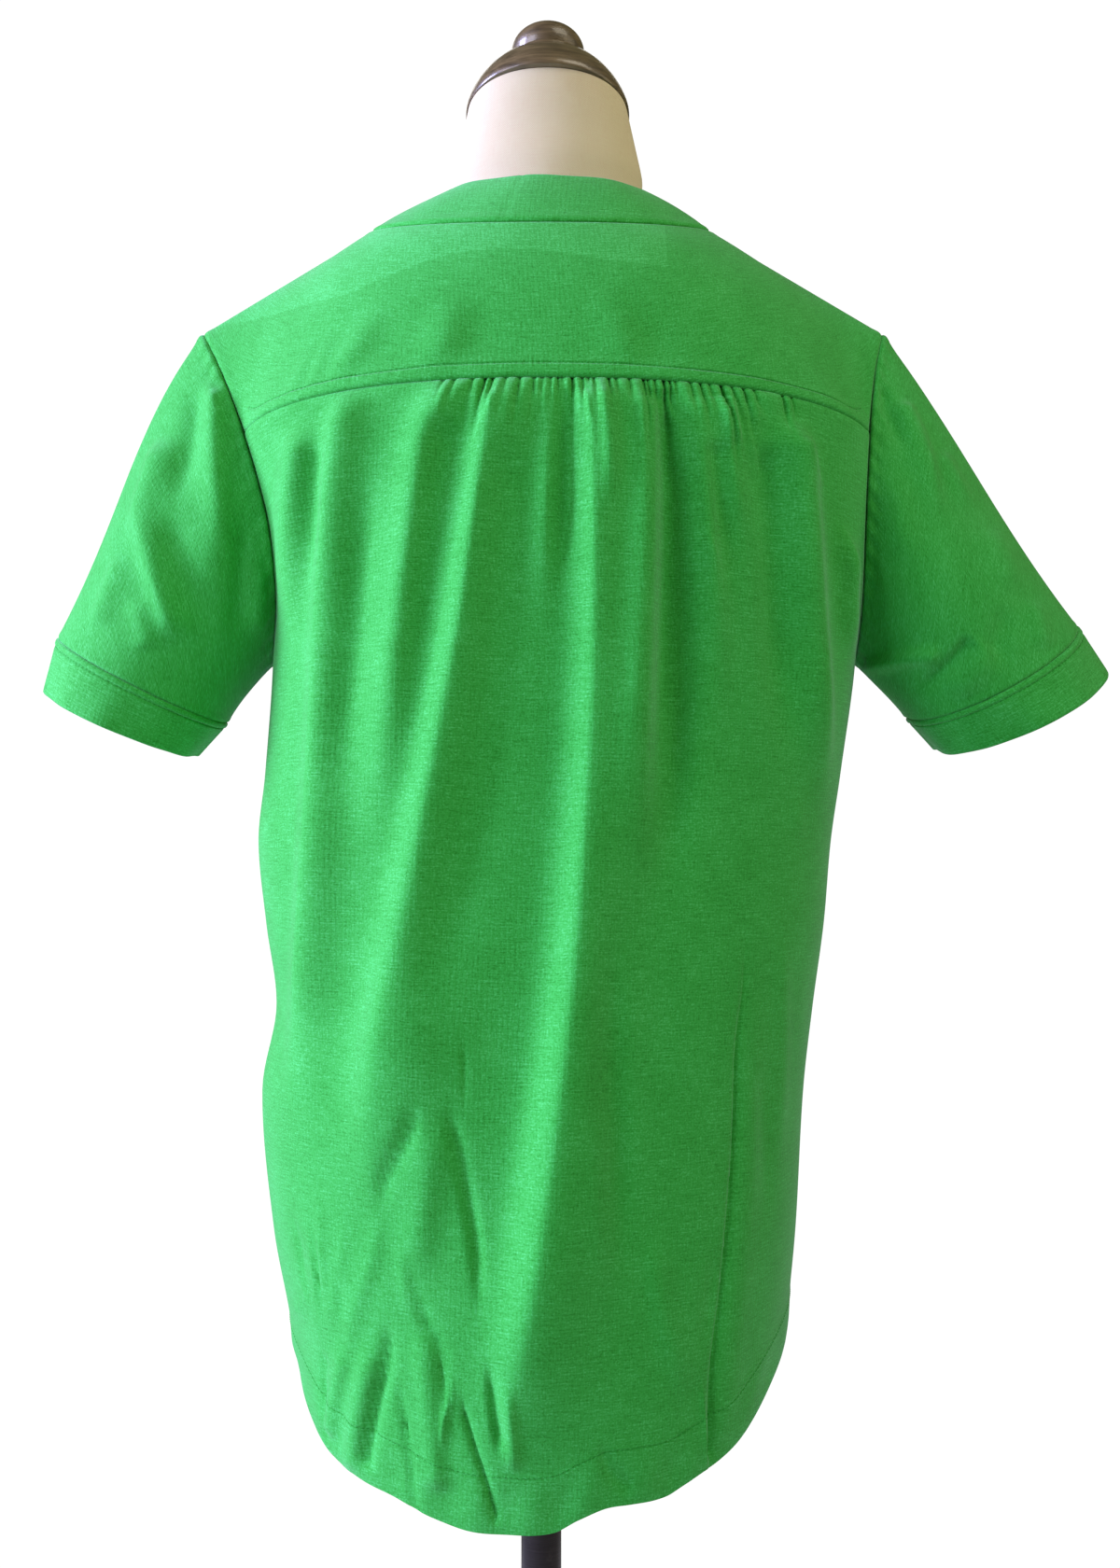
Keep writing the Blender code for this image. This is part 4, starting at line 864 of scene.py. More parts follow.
@dataclass
class StitchMaker:
    """Rows of sewn stitches, made by Geometry Nodes along lines that lie on the cloth."""

    pitch: float = 0.0031
    length: float = 0.0023
    width: float = 0.00042
    height: float = 0.00034
    unevenness: float = 0.10
    seed: int = 11
    tree: bpy.types.NodeTree = field(init=False)

    def __post_init__(self) -> None:
        """Build the tree of nodes."""
        tree = bpy.data.node_groups.new("stitch_rows", "GeometryNodeTree")
        face = tree.interface
        face.new_socket("Lines", in_out="INPUT", socket_type="NodeSocketGeometry")
        for label in ("Pitch", "Length", "Width", "Height", "Unevenness"):
            face.new_socket(label, in_out="INPUT", socket_type="NodeSocketFloat")
        face.new_socket("Thread", in_out="INPUT", socket_type="NodeSocketMaterial")
        face.new_socket("Stitches", in_out="OUTPUT", socket_type="NodeSocketGeometry")

        def node(kind: str, settings: dict | None = None, links: dict | None = None) -> bpy.types.Node:
            made = tree.nodes.new(kind)
            for key, value in (settings or {}).items():
                setattr(made, key, value)
            for key, value in (links or {}).items():
                if isinstance(value, bpy.types.NodeSocket):
                    tree.links.new(value, made.inputs[key])
                else:
                    made.inputs[key].default_value = value
            return made

        given = node("NodeGroupInput").outputs
        curve = node("GeometryNodeMeshToCurve", {}, {"Mesh": given["Lines"]})
        even = node("GeometryNodeResampleCurve", {"mode": "LENGTH"},
                    {"Curve": curve.outputs[0], "Length": given["Pitch"]})
        up = node("GeometryNodeInputNamedAttribute", {"data_type": "FLOAT_VECTOR"}, {"Name": "up"})
        tangent = node("GeometryNodeInputTangent")
        along = node("FunctionNodeAlignRotationToVector", {"axis": "X"}, {"Vector": tangent.outputs[0]})
        turned = node("FunctionNodeAlignRotationToVector", {"axis": "Z", "pivot_axis": "X"},
                      {"Rotation": along.outputs[0], "Vector": up.outputs[0]})
        bead = node("GeometryNodeMeshUVSphere", {}, {"Segments": 6, "Rings": 5, "Radius": 0.5})
        size = node("ShaderNodeCombineXYZ", {}, {"X": given["Length"], "Y": given["Width"],
                                                 "Z": given["Height"]})
        less, more = (node("ShaderNodeMath", {"operation": kind}, {0: 1.0, 1: given["Unevenness"]})
                      for kind in ("SUBTRACT", "ADD"))
        vary = node("FunctionNodeRandomValue", {"data_type": "FLOAT"},
                    {2: less.outputs[0], 3: more.outputs[0], "Seed": self.seed})
        scaled = node("ShaderNodeVectorMath", {"operation": "SCALE"},
                      {0: size.outputs[0], "Scale": vary.outputs[1]})
        placed = node("GeometryNodeInstanceOnPoints", {}, {
            "Points": even.outputs[0], "Instance": bead.outputs[0],
            "Rotation": turned.outputs[0], "Scale": scaled.outputs[0]})
        real = node("GeometryNodeRealizeInstances", {}, {"Geometry": placed.outputs[0]})
        dressed = node("GeometryNodeSetMaterial", {}, {"Geometry": real.outputs[0],
                                                       "Material": given["Thread"]})
        node("NodeGroupOutput", {}, {"Stitches": dressed.outputs[0]})
        self.tree = tree

    def sew(self, name: str, lines: Sequence[tuple[Array, Array]], thread: bpy.types.Material,
            **sizes: float) -> bpy.types.Object:
        """Sew stitches along lines.

        Args:
            name: The piece's name.
            lines: For each row, its points and the cloth's outward directions there.
            thread: The thread's material.
            sizes: Any of pitch, length, width and height that differ from the maker's own.

        Returns:
            The stitches as one plain mesh object.
        """
        verts, edges, ups = [], [], []
        for points, up in lines:
            start = len(verts)
            verts += points.tolist()
            ups += up.tolist()
            edges += [(start + i, start + i + 1) for i in range(len(points) - 1)]
        mesh = bpy.data.meshes.new(name + "_lines")
        mesh.from_pydata(verts, edges, [])
        mesh.attributes.new("up", "FLOAT_VECTOR", "POINT").data.foreach_set(
            "vector", np.asarray(ups, np.float32).ravel())
        rows = add_object(name + "_rows", mesh)
        modifier = rows.modifiers.new("stitches", "NODES")
        modifier.node_group = self.tree
        chosen = {"Pitch": self.pitch, "Length": self.length, "Width": self.width,
                  "Height": self.height, "Unevenness": self.unevenness, "Thread": thread}
        chosen.update({key.capitalize(): value for key, value in sizes.items()})
        for item in self.tree.interface.items_tree:
            if item.name in chosen and item.in_out == "INPUT":
                modifier[item.identifier] = chosen[item.name]
        plain = evaluated_mesh(rows)
        bpy.data.objects.remove(rows, do_unlink=True)
        plain.name = name
        plain.shade_smooth()
        return settle(add_object(name, plain), thread)


def row_on(shell: ClothShell, row: int) -> tuple[Array, Array]:
    """A stitch line along one row of a built shell: its points and outward directions."""
    points, up = shell.shown[row], shell.normals[row]
    if shell.wrap:
        points, up = np.concatenate([points, points[:1]]), np.concatenate([up, up[:1]])
    return points + up * THREAD_LIFT, up


def column_on(shell: ClothShell, column: int) -> tuple[Array, Array]:
    """A stitch line down one column of a built shell."""
    up = shell.normals[:, column]
    return shell.shown[:, column] + up * THREAD_LIFT, up


@dataclass
class Workroom:
    """What all pieces share: the stitch maker and two finishes."""

    stitches: StitchMaker
    jersey: bpy.types.Material
    thread: bpy.types.Material

    def sew(self, name: str, lines: Sequence[tuple[Array, Array]], **sizes: float) -> bpy.types.Object:
        """Sew stitches along lines with the shared thread."""
        return self.stitches.sew(name, lines, self.thread, **sizes)


# ---------- yoke


YOKE_FOLDS = (
    Fold(((45, 1353), (49, 1332), (55, 1312), (60, 1297)), 12, 12, 3, 0.7, 0),
    Fold(((31, 1345), (35, 1324), (38, 1306)), 12, 14, -0.7, 0.7, 0.1),
    Fold(((88, 1348), (96, 1329), (106, 1314), (114, 1299)), 8, 8, 2.4, 0.7, 0),
    Fold(((77, 1340), (84, 1322), (91, 1303)), 9, 9, -0.6, 0.7, 0.1),
    Fold(((120, 1329), (125, 1314), (131, 1296)), 4.5, 5, 1.5, 0.7, 0),
    Fold(((133, 1324), (138, 1308), (144, 1292)), 5, 5, 1.3, 0.7, 0),
    Fold(((127, 1323), (131, 1308), (136, 1294)), 3.5, 3.5, -0.5, 0.7, 0),
    Fold(((152, 1314), (158, 1298), (163, 1281)), 6, 6, 1.4, 0.7, 0.1),
    Fold(((-41, 1351), (-44, 1324), (-52, 1299)), 12, 10, 1.6, 0.7, 0.1),
    Fold(((-68, 1340), (-67, 1319), (-66, 1298)), 10, 10, -0.7, 0.7, 0.1),
    Fold(((-118, 1335), (-121, 1314), (-124, 1290)), 14, 12, 1.4, 0.7, 0.1),
    Fold(((-173, 1306), (-182, 1290), (-188, 1276)), 5, 5, -0.7, 0.7, 0.1),
    Fold(((-160, 1314), (-166, 1292), (-170, 1279)), 9, 8, 1.6, 0.7, 0.1),
)


@dataclass
class Yoke:
    """The shoulder piece, from the neck seam over the shoulders to the gathers."""

    room: Workroom
    side_columns: int = 12          # columns between two of the parts that boundary() lists
    seam_columns: int = 150
    rows: int = 40
    bulge_side: float = 0.015
    bulge_back: float = 0.008
    bulge_front: float = 0.006
    smoothing: int = 220            # rounds of easing, which take the ridge out of the yoke's corners
    edge_steps: tuple[float, ...] = (0.0, 0.0006, 0.0013, 0.0025, 0.0042, 0.0058, 0.0068, 0.0075,
                                     0.0082, 0.0092, 0.0110, 0.0140)
    facing_edge: tuple[tuple[float, float], ...] = (
        (-0.0740, 1.3610), (-0.0672, 1.3622), (-0.0336, 1.3652), (-0.0128, 1.3690), (0.0219, 1.3716),
        (0.0400, 1.3706), (0.0600, 1.3672), (0.0848, 1.3590), (0.1100, 1.3500))
    facing_end: float = -0.0735
    folds: tuple[Fold, ...] = YOKE_FOLDS

    def boundary(self) -> tuple[Array, Array, Array]:
        """The yoke's outer edge from the left front seam round the back.

        Returns:
            The neck angle of each column, its outer point, and its share along the back seam (below 0 or
            above 1 off that seam).
        """
        parts = [FRONT_CORNER, 0.93, 1.0, 0.94, 0.86, 0.76, BACK_CORNER]
        angles = [FORWARD_SEAM_ANGLE, FORWARD_SEAM_ANGLE / 2] + [CORNER_ANGLE * i / 4 for i in range(5)]
        n = self.side_columns
        at = np.linspace(0, 6, 6 * n + 1)
        turned, part = (np.interp(at, range(7), values) for values in (angles, parts))
        forward = (at < 2)[:, None]
        left, right = (np.where(forward, armhole(side, part, False), armhole(side, part, True))
                       for side in (1, -1))
        share = np.linspace(0, 1, self.seam_columns + 1)[1:-1]
        seam = back_at(share, seam_height(share))
        behind = CORNER_ANGLE + (180 - 2 * CORNER_ANGLE) * share
        degrees = np.concatenate([turned, behind, 180 - turned[::-1]])
        places = np.concatenate([at / 6 - 1, share, 2 - at[::-1] / 6])
        return degrees, np.concatenate([left, seam, right[::-1]]), places

    def swell(self, degrees: Array) -> Array:
        """How far, and which way, the yoke swells half-way between neck and outer edge."""
        turn = np.minimum(degrees, 180.0 - degrees)
        blade = ease(turn / CORNER_ANGLE)
        middle = ease((turn - CORNER_ANGLE) / (90.0 - CORNER_ANGLE))
        size = np.where(turn > 0, self.bulge_side * blade + (self.bulge_back - self.bulge_side) * middle,
                        self.bulge_front * ease(turn / FORWARD_SEAM_ANGLE))
        angle = np.radians(degrees)
        way = unit(stack(0.25 * np.cos(angle), 0.75 * np.sin(angle), np.full_like(angle, 0.62)))
        return way * size[:, None]

    def side_edge(self, side: int, t: Array) -> Array:
        """The yoke's front seam, from the neck (0) to the armhole (1)."""
        turned = np.array([FORWARD_SEAM_ANGLE if side > 0 else 180 - FORWARD_SEAM_ANGLE])
        inner, outer = NECK_SEAM.at(turned), armhole(side, np.array([FRONT_CORNER]), False)
        t = np.asarray(t)[:, None]
        return inner * (1 - t) + outer * t + self.swell(turned) * 4 * t * (1 - t)

    def build(self) -> None:
        """Make the yoke."""
        degrees, outer, places = self.boundary()
        inner, swell = NECK_SEAM.at(degrees), self.swell(degrees)
        length = np.linalg.norm(outer - inner, axis=1)
        near_edge = 1 - np.asarray(self.edge_steps[::-1])[:, None] / length
        start = graded(0.0, 1.0, 0.35, 1.0, self.rows)[:-1, None] * near_edge[:1]
        t = np.concatenate([start, near_edge])[..., None]
        points = inner * (1 - t) + outer * t + swell * 4 * t * (1 - t)
        column = np.arange(len(places))
        from_tip = np.minimum(column, len(places) - 1 - column) - 2.5 * self.side_columns
        fading = ease(from_tip / (2 * self.side_columns))[None, :, None]
        give = (np.minimum(4.8 * t * (1 - t), 1.0) * fading)[:, 1:-1]
        for _ in range(self.smoothing):
            points[:, 1:-1] += ((points[:, :-2] + points[:, 2:]) / 2 - points[:, 1:-1]) * give
        shell = ClothShell("yoke_cloth", points)
        from_edge = (1 - t[..., 0]) * length
        from_neck = t[..., 0] * length
        on_seam = ease((places + 0.02) / 0.02) * ease((1.02 - places) / 0.02)
        x, z = points[..., 0], points[..., 2]
        lift = lift_of(self.folds, x, z) * ease(from_edge / 0.02) * (shell.normals[..., 1] > 0)
        ridge = through((0, 0.0006, 0.0013, 0.0042, 0.0068, 0.0075, 0.0084, 0.0110, 0.014),
                        (-0.0008, 0.0001, 0.0007, 0.0009, 0.0006, 0.0000, 0.0003, 0.0001, 0.0), from_edge)
        pucker = 0.00022 * np.sin(places * 330) + 0.00016 * np.sin(places * 611 + 1.3)
        lift += (ridge + pucker * bell(from_edge, 0.003, 0.005)) * on_seam
        lift += through(*EDGE_GROOVE, from_edge) * (1 - on_seam)
        lift += through((0, 0.0010, 0.0025, 0.006), (-0.0010, -0.0002, 0.0002, 0.0), from_neck)
        edge_x, edge_z = zip(*self.facing_edge)
        covered = np.minimum(z - np.interp(x, edge_x, edge_z), x - self.facing_end)
        covered = np.where(points[..., 1] > 0, covered, -0.01)
        marks = {"edge": np.where(on_seam > 0.5, from_edge, 0.03), "facing": covered, "seam": from_neck}
        piece = shell.build(lift, marks)
        finish = JerseyFinish("jersey_yoke", faced=True, stitched=(SEAM_STITCH,), stitch_sink_and_shade=0.6, seam_shade=True)
        settle(piece, finish.make(), ("yoke",))
        row = len(t) - 1 - self.edge_steps.index(SEAM_STITCH)
        pick = np.where((places >= -0.004) & (places <= 1.004))[0]
        line, up = row_on(shell, row)
        sewn = self.room.sew("yoke_stitches", [(line[pick], up[pick])])


# ---------- back


BACK_FOLDS = (
    # the long folds that hang from the gathers
    Fold(((136, 1277), (143, 1225), (145, 1176), (146, 1131)), 11, 9, 7.6, 0.15, 0.5),
    Fold(((110, 1284), (113, 1263), (118, 1221), (122, 1151), (125, 1086), (129, 1006), (135, 924),
         (144, 854)), 9, 13, 8.3, 0, 0.25, grow=1.2),
    Fold(((54, 1285), (62, 1259), (68, 1217), (74, 1164), (80, 1117), (87, 1060),
         (93, 1002)), 12, 12, 9.4, 0, 0.5, grow=1.2),
    Fold(((25, 1278), (30, 1242), (36, 1195), (43, 1143), (54, 1081), (65, 1018), (76, 956), (85, 900),
         (89, 854), (90, 814)), 9, 20, 10.1, 0, 0.28, grow=2),
    Fold(((-8, 1284), (-6, 1242), (-3, 1189), (-2, 1137)), 7, 9, 4, 0, 0.6),
    Fold(((-28, 1279), (-31, 1231), (-31, 1169), (-30, 1112), (-26, 1039), (-20, 958), (-12, 888),
         (-2, 810), (8, 748), (12, 680)), 8.5, 18, 10.8, 0, 0.24, grow=2),
    Fold(((-37, 1281), (-39, 1252), (-40, 1210)), 5, 6, 4.1, 0, 0.6),
    Fold(((-61, 1274), (-62, 1221), (-60, 1164), (-57, 1106), (-53, 1034),
         (-51, 978)), 13, 8, 10.4, 0, 0.5, grow=1.2),
    Fold(((-89, 1275), (-94, 1217), (-99, 1149), (-101, 1081)), 10, 9, 5.9, 0, 0.6),
    Fold(((-104, 1284), (-108, 1244), (-115, 1197)), 8, 7, 5.9, 0.02, 0.5),
    Fold(((-144, 1279), (-151, 1226), (-156, 1162), (-161, 1108), (-167, 1043)), 12, 9, 10.1, 0.1, 0.35),
    Fold(((-179, 1219), (-183, 1170), (-185, 1132)), 6, 6, 5.5),
    # troughs between them
    Fold(((128, 1266), (130, 1217), (132, 1174)), 7, 7, -3.8, 0.2, 0.5),
    Fold(((97, 1256), (102, 1192), (110, 1108), (118, 1033)), 10, 10, -4.2),
    Fold(((52, 1274), (60, 1211), (68, 1149), (76, 1086)), 8, 8, -4.2, 0.1, 0.5),
    Fold(((17, 1268), (20, 1210), (25, 1148), (35, 1075), (50, 993),
         (70, 906)), 12, 14, -5.5, 0.1, 0.3, grow=1.3),
    Fold(((-15, 1279), (-15, 1231), (-14, 1169)), 7, 7, -3.8, 0, 0.5),
    Fold(((-69, 1280), (-70, 1221), (-69, 1159), (-66, 1096), (-62, 1034)), 7, 7, -7.4, 0, 0.5, grow=1.2),
    Fold(((-98, 1259), (-102, 1212), (-107, 1160)), 6, 7, -3.8, 0.1, 0.6),
    Fold(((-40, 1008), (-38, 932), (-40, 858), (-41, 785)), 9, 9, -4.8, 0.4, 0.4),
    Fold(((-79, 1262), (-81, 1200), (-80, 1130), (-76, 1060), (-71, 990)), 8, 8, -5.2, 0.1, 0.4, grow=1.3),
    Fold(((-128, 1262), (-134, 1205), (-138, 1140), (-142, 1075)), 10, 9, -5.6, 0.1, 0.4, grow=1.2),
    # short creases below the seam
    Fold(((25, 1292), (28, 1274), (35, 1258), (45, 1241), (49, 1232)), 1.6, 3.2, 1.5, 0.05, 0.5, crest=SHARP),
    Fold(((0, 1289), (6, 1273), (11, 1260)), 1.6, 2.6, 1, 0.05, 0.6, crest=SHARP),
    Fold(((-23, 1290), (-27, 1273), (-31, 1252)), 2, 2.4, 1.2, 0.05, 0.6, crest=SHARP),
    Fold(((-70, 1289), (-74, 1274), (-78, 1263)), 7, 1.6, 2.2, 0.05, 0.5),
    Fold(((-106, 1280), (-109, 1268), (-113, 1254)), 7, 1.6, 3.6, 0.15, 0.5),
    Fold(((-115, 1272), (-123, 1250), (-131, 1227)), 7, 1.6, 1.3, 0.2, 0.6),
    Fold(((-121, 1284), (-125, 1275), (-131, 1268)), 7, 1.6, 2, 0.2, 0.6),
    Fold(((-152, 1264), (-156, 1248), (-163, 1231)), 7, 1.6, 2.4, 0.15, 0.6),
    Fold(((-92, 1209), (-97, 1195), (-102, 1181)), 7, 1.6, 1.8, 0.4, 0.6),
    Fold(((-147, 1056), (-151, 1046), (-156, 1032)), 7, 1.6, 1.3, 0.4, 0.6),
    Fold(((-175, 1220), (-183, 1197), (-192, 1174)), 7, 1.6, 1.9, 0.3, 0.5),
    Fold(((-43, 1138), (-47, 1126), (-51, 1114)), 3, 3.6, -0.8, 0.4, 0.6, crest=SHARP),
    Fold(((41, 926), (40, 907), (40, 887)), 1.8, 2.4, -1.1, 0.3, 0.5, crest=SHARP),
    # the long crease of the lower right, and the soft folds beside it
    Fold(((-115, 989), (-115, 950), (-111, 919), (-109, 868), (-104, 813), (-100, 778),
         (-95, 744), (-93, 700)), 1.6, 3.4, -2.6, 0.3, 0, grow=1.5, crest=SHARP),
    Fold(((-121, 960), (-118, 877), (-113, 812), (-107, 758), (-102, 710)), 7, 7, 1.6, 0.4, 0, grow=1.3),
    Fold(((-89, 741), (-90, 718), (-91, 697)), 2.4, 2, 1.6, 0.3, 0, crest=SHARP),
    Fold(((-139, 990), (-140, 915), (-137, 831)), 6, 5, 1.6),
    Fold(((-125, 912), (-129, 849), (-127, 808)), 6, 6, -1.2),
    Fold(((-61, 823), (-65, 788), (-73, 758), (-83, 732)), 5, 8, 2.2, 0.25, 0.3, grow=1.2),
    Fold(((-34, 902), (-33, 843), (-34, 785)), 7, 8, 2),
    Fold(((-99, 809), (-94, 780), (-91, 755)), 5, 4, -1.3),
    Fold(((-32, 716), (-39, 699), (-51, 688)), 3, 4, -1.6, 0.3, 0.2),
    # wrinkles of the lower left
    Fold(((62, 889), (72, 867), (83, 847), (87, 830)), 4.2, 3, -3.6, 0.25, 0.3),
    Fold(((50, 888), (43, 862), (37, 833), (33, 809), (31, 775)), 3.4, 4.2, -3.1, 0.15, 0.4),
    Fold(((54, 882), (63, 832), (69, 792)), 10.2, 10.2, 3.4, 0.25, 0.3),
    Fold(((84, 830), (90, 806), (97, 785), (103, 763), (107, 733)), 5.1, 2.7, 2.9, 0.2, 0.4, crest=SHARP),
    Fold(((75, 811), (71, 789), (69, 777)), 3.4, 2.5, 1.6),
    Fold(((66, 782), (58, 770), (45, 754)), 2.5, 2.9, -2.9, 0.15, 0.4),
    Fold(((80, 773), (83, 752), (88, 731), (92, 712), (95, 691)), 2.5, 3.6, -3.8, 0.2, 0.05, grow=1.2),
    Fold(((89, 759), (97, 731), (103, 693)), 6, 5.1, 3.4, 0.2, 0),
    Fold(((76, 744), (72, 722), (69, 701), (66, 678)), 2.2, 2.7, -2.6, 0.2, 0, crest=SHARP),
    Fold(((63, 773), (60, 744), (57, 715), (53, 686)), 6, 6, 2.9, 0.2, 0.1),
    Fold(((54, 760), (51, 745), (48, 733)), 2.2, 2.7, -2.1, 0.3, 0.5, crest=SHARP),
    Fold(((44, 743), (50, 724), (50, 708)), 3.4, 1.9, 2.3, 0.2, 0.4, crest=SHARP),
    Fold(((41, 734), (34, 713), (27, 693), (22, 675)), 2.2, 3.1, -3.4, 0.1, 0.05, crest=SHARP),
    Fold(((26, 754), (23, 735), (19, 708)), 2.9, 3.7, -3.4, 0.2, 0.3),
    Fold(((16, 747), (14, 724), (12, 700)), 4.2, 3.4, 2.1, 0.2, 0.2),
    Fold(((121, 748), (121, 721), (120, 695)), 1.7, 2.5, -2.5, 0.2, 0.1, crest=SHARP),
    Fold(((106, 754), (113, 725), (117, 699)), 5.1, 3.4, 2.9, 0.2, 0.1),
    Fold(((112, 798), (111, 784), (110, 768)), 1.5, 2.2, -2.1, 0.2, 0.4, crest=SHARP),
    Fold(((124, 838), (122, 802), (121, 767)), 2, 1.7, 2, 0.3, 0.3, crest=SHARP),
    Fold(((132, 820), (128, 795), (126, 771), (136, 755)), 1.9, 1.9, 2, 0.3, 0.3, crest=SHARP),
    Fold(((138, 784), (132, 770), (146, 755)), 2, 2, 1.8, 0.3, 0.3, crest=SHARP),
    Fold(((107, 831), (110, 800), (116, 772), (125, 757), (138, 747)), 2, 2, 1.7, 0.3, 0.3, crest=SHARP),
    Fold(((127, 806), (124, 785), (123, 769)), 1.7, 2.2, -2, 0.3, 0.3, crest=SHARP),
    Fold(((142, 816), (136, 797), (134, 778)), 2, 2.5, -2, 0.3, 0.3, crest=SHARP),
    Fold(((149, 731), (141, 703), (130, 692)), 5.1, 4.2, -2.1, 0.3, 0.1),
)


@dataclass
class BackPanel:
    """The back: gathered into the yoke, falling in uneven folds to a curved hem."""

    room: Workroom
    side_left: int = 64             # columns left of the first gather
    gathered: int = 250
    side_right: int = 34
    rows: int = 136
    # each furrow's place in millimetres, its depth and its length
    furrows: tuple[tuple[float, float, float], ...] = (
        (53.7, 0.6, 9), (47.6, 0.8, 10), (37.1, 0.7, 8), (30.1, 1.3, 18), (25.9, 1.2, 14),
        (18.6, 0.6, 8), (10.7, 0.8, 16), (2.7, 0.8, 12), (-1.8, 0.6, 8), (-6.3, 0.7, 14),
        (-10.8, 0.8, 10), (-13.3, 0.6, 8), (-18.7, 1.3, 16), (-24.2, 0.9, 20), (-27.8, 0.6, 9),
        (-30.7, 0.8, 12), (-39.2, 1.2, 12), (-43.2, 0.7, 8), (-50.7, 0.7, 9), (-58.7, 1.2, 26),
        (-61.2, 0.8, 12), (-65.0, 0.7, 10), (-70.1, 1.4, 18), (-73.6, 1.0, 12), (-76.7, 0.6, 8),
        (-85.3, 0.7, 11), (-91.0, 0.9, 14), (-96.2, 0.6, 8), (-103.0, 1.6, 24), (-109.3, 0.7, 12),
        (-116.0, 0.9, 12), (-122.3, 0.6, 8), (-139.5, 0.8, 12), (-145.0, 0.6, 8))
    # how far the furrows lean over from their places, 0.1 m below the seam
    fan: tuple[tuple[float, float], ...] = (
        (-0.1700, -0.004), (-0.1415, -0.009), (-0.1100, -0.018), (-0.0820, -0.010),
        (-0.0540, -0.004), (-0.0240, -0.003), (-0.0040, 0.003), (0.0250, 0.016),
        (0.0580, 0.018), (0.1100, 0.009), (0.1350, 0.012))
    puff: float = 0.0012

    def shares(self) -> Array:
        """Shares of the back's width at its columns: closer together in the gathers."""
        even = np.linspace(0, 1, 2001)
        x = back_at(even, seam_height(even))[:, 0]
        start, end = np.interp([-0.060, 0.150], -x, even)
        return np.concatenate([np.linspace(0, start, self.side_left + 1)[:-1],
                               np.linspace(start, end, self.gathered + 1)[:-1],
                               np.linspace(end, 1, self.side_right + 1)])

    def gather_lift(self, x: Array, below: Array) -> Array:
        """The gathers: puffs between furrows that are tight in the seam and die away below it."""
        fan_x, fan_way = zip(*self.fan)
        run = np.clip(below / 0.1, 0, 1) ** 0.9
        home = x.copy()
        for _ in range(3):
            home = x - np.interp(home, fan_x, fan_way) * run
        places, depths, lengths = np.asarray(self.furrows[::-1]).T
        places = places * MM
        phase = np.interp(home, places, np.arange(len(places)))
        width = np.interp(home, (places[1:] + places[:-1]) / 2, np.diff(places))
        inside = ease((home - places[0] + 0.004) / 0.004) * ease((places[-1] + 0.004 - home) / 0.004)
        between = np.abs(np.sin(np.pi * (phase % 1.0))) ** 0.7
        height = self.puff * np.clip(width / 0.0055, 0.5, 1.7) * between
        height = height * (0.25 + 0.75 * ease(below / 0.005))
        length = 0.006 + 0.0026 * np.interp(home, places, lengths)
        lift = height * inside * (1 - ease(below / length))
        for place, depth, long in zip(places, depths, lengths):
            gap = (home - place) / (0.0009 + 0.035 * below)
            lift -= 0.0022 * depth * np.exp(-gap ** 2) * (1 - ease(below / (long * (1 + 0.09 * long) * MM)))
        return lift

    def build(self) -> None:
        """Make the back."""
        share = self.shares()[None, :]
        top = seam_height(share)
        foot = through(*zip(*BACK_HEM), back_at(share, HEM_LEFT)[..., 0])
        down = np.concatenate([graded(0.0, 0.16, 0.4, 2.0, 44)[:-1],
                               np.linspace(0.16, 0.90, self.rows - 64)[:-1],
                               np.linspace(0.90, 1.0, 22)])[:, None]
        height = top + (foot - top) * down
        points = back_at(np.broadcast_to(share, height.shape), height)
        shell = ClothShell("back_cloth", points)
        x, z = points[..., 0], points[..., 2]
        below = top - height
        from_side = np.minimum(share, 1 - share)
        grown = 1 - np.exp(-(below / 0.010) ** 1.5)
        lift = self.gather_lift(x, below) + lift_of(BACK_FOLDS, x, z) * ease(from_side / 0.05) * grown
        lift += through((0.0, 0.0015, 0.004), (-0.0012, -0.0004, 0.0), below)
        seams = through((0.0, 0.004, 0.012), (-0.0009, 0.0003, 0.0), from_side * 0.85)
        above_hem = height - foot
        hem = through((0.0, 0.0006, 0.002, *STITCHED_HEM), (0.0, 0.0002, 0.0003, *STITCHED_LIFT), above_hem)
        ripple = 0.0008 * np.sin(x * 210 + 1.0) * bell(above_hem, 0.012, 0.012)
        piece = shell.build(lift + seams + hem + ripple, {"edge": above_hem})
        settle(piece, hemmed("jersey_back"), ("back_panel",))
        row = int(np.argmin(np.abs(above_hem[:, len(share[0]) // 2] - HEM_STITCH)))
        sewn = self.room.sew("back_hem_stitches", [row_on(shell, row)])


# ---------- fronts


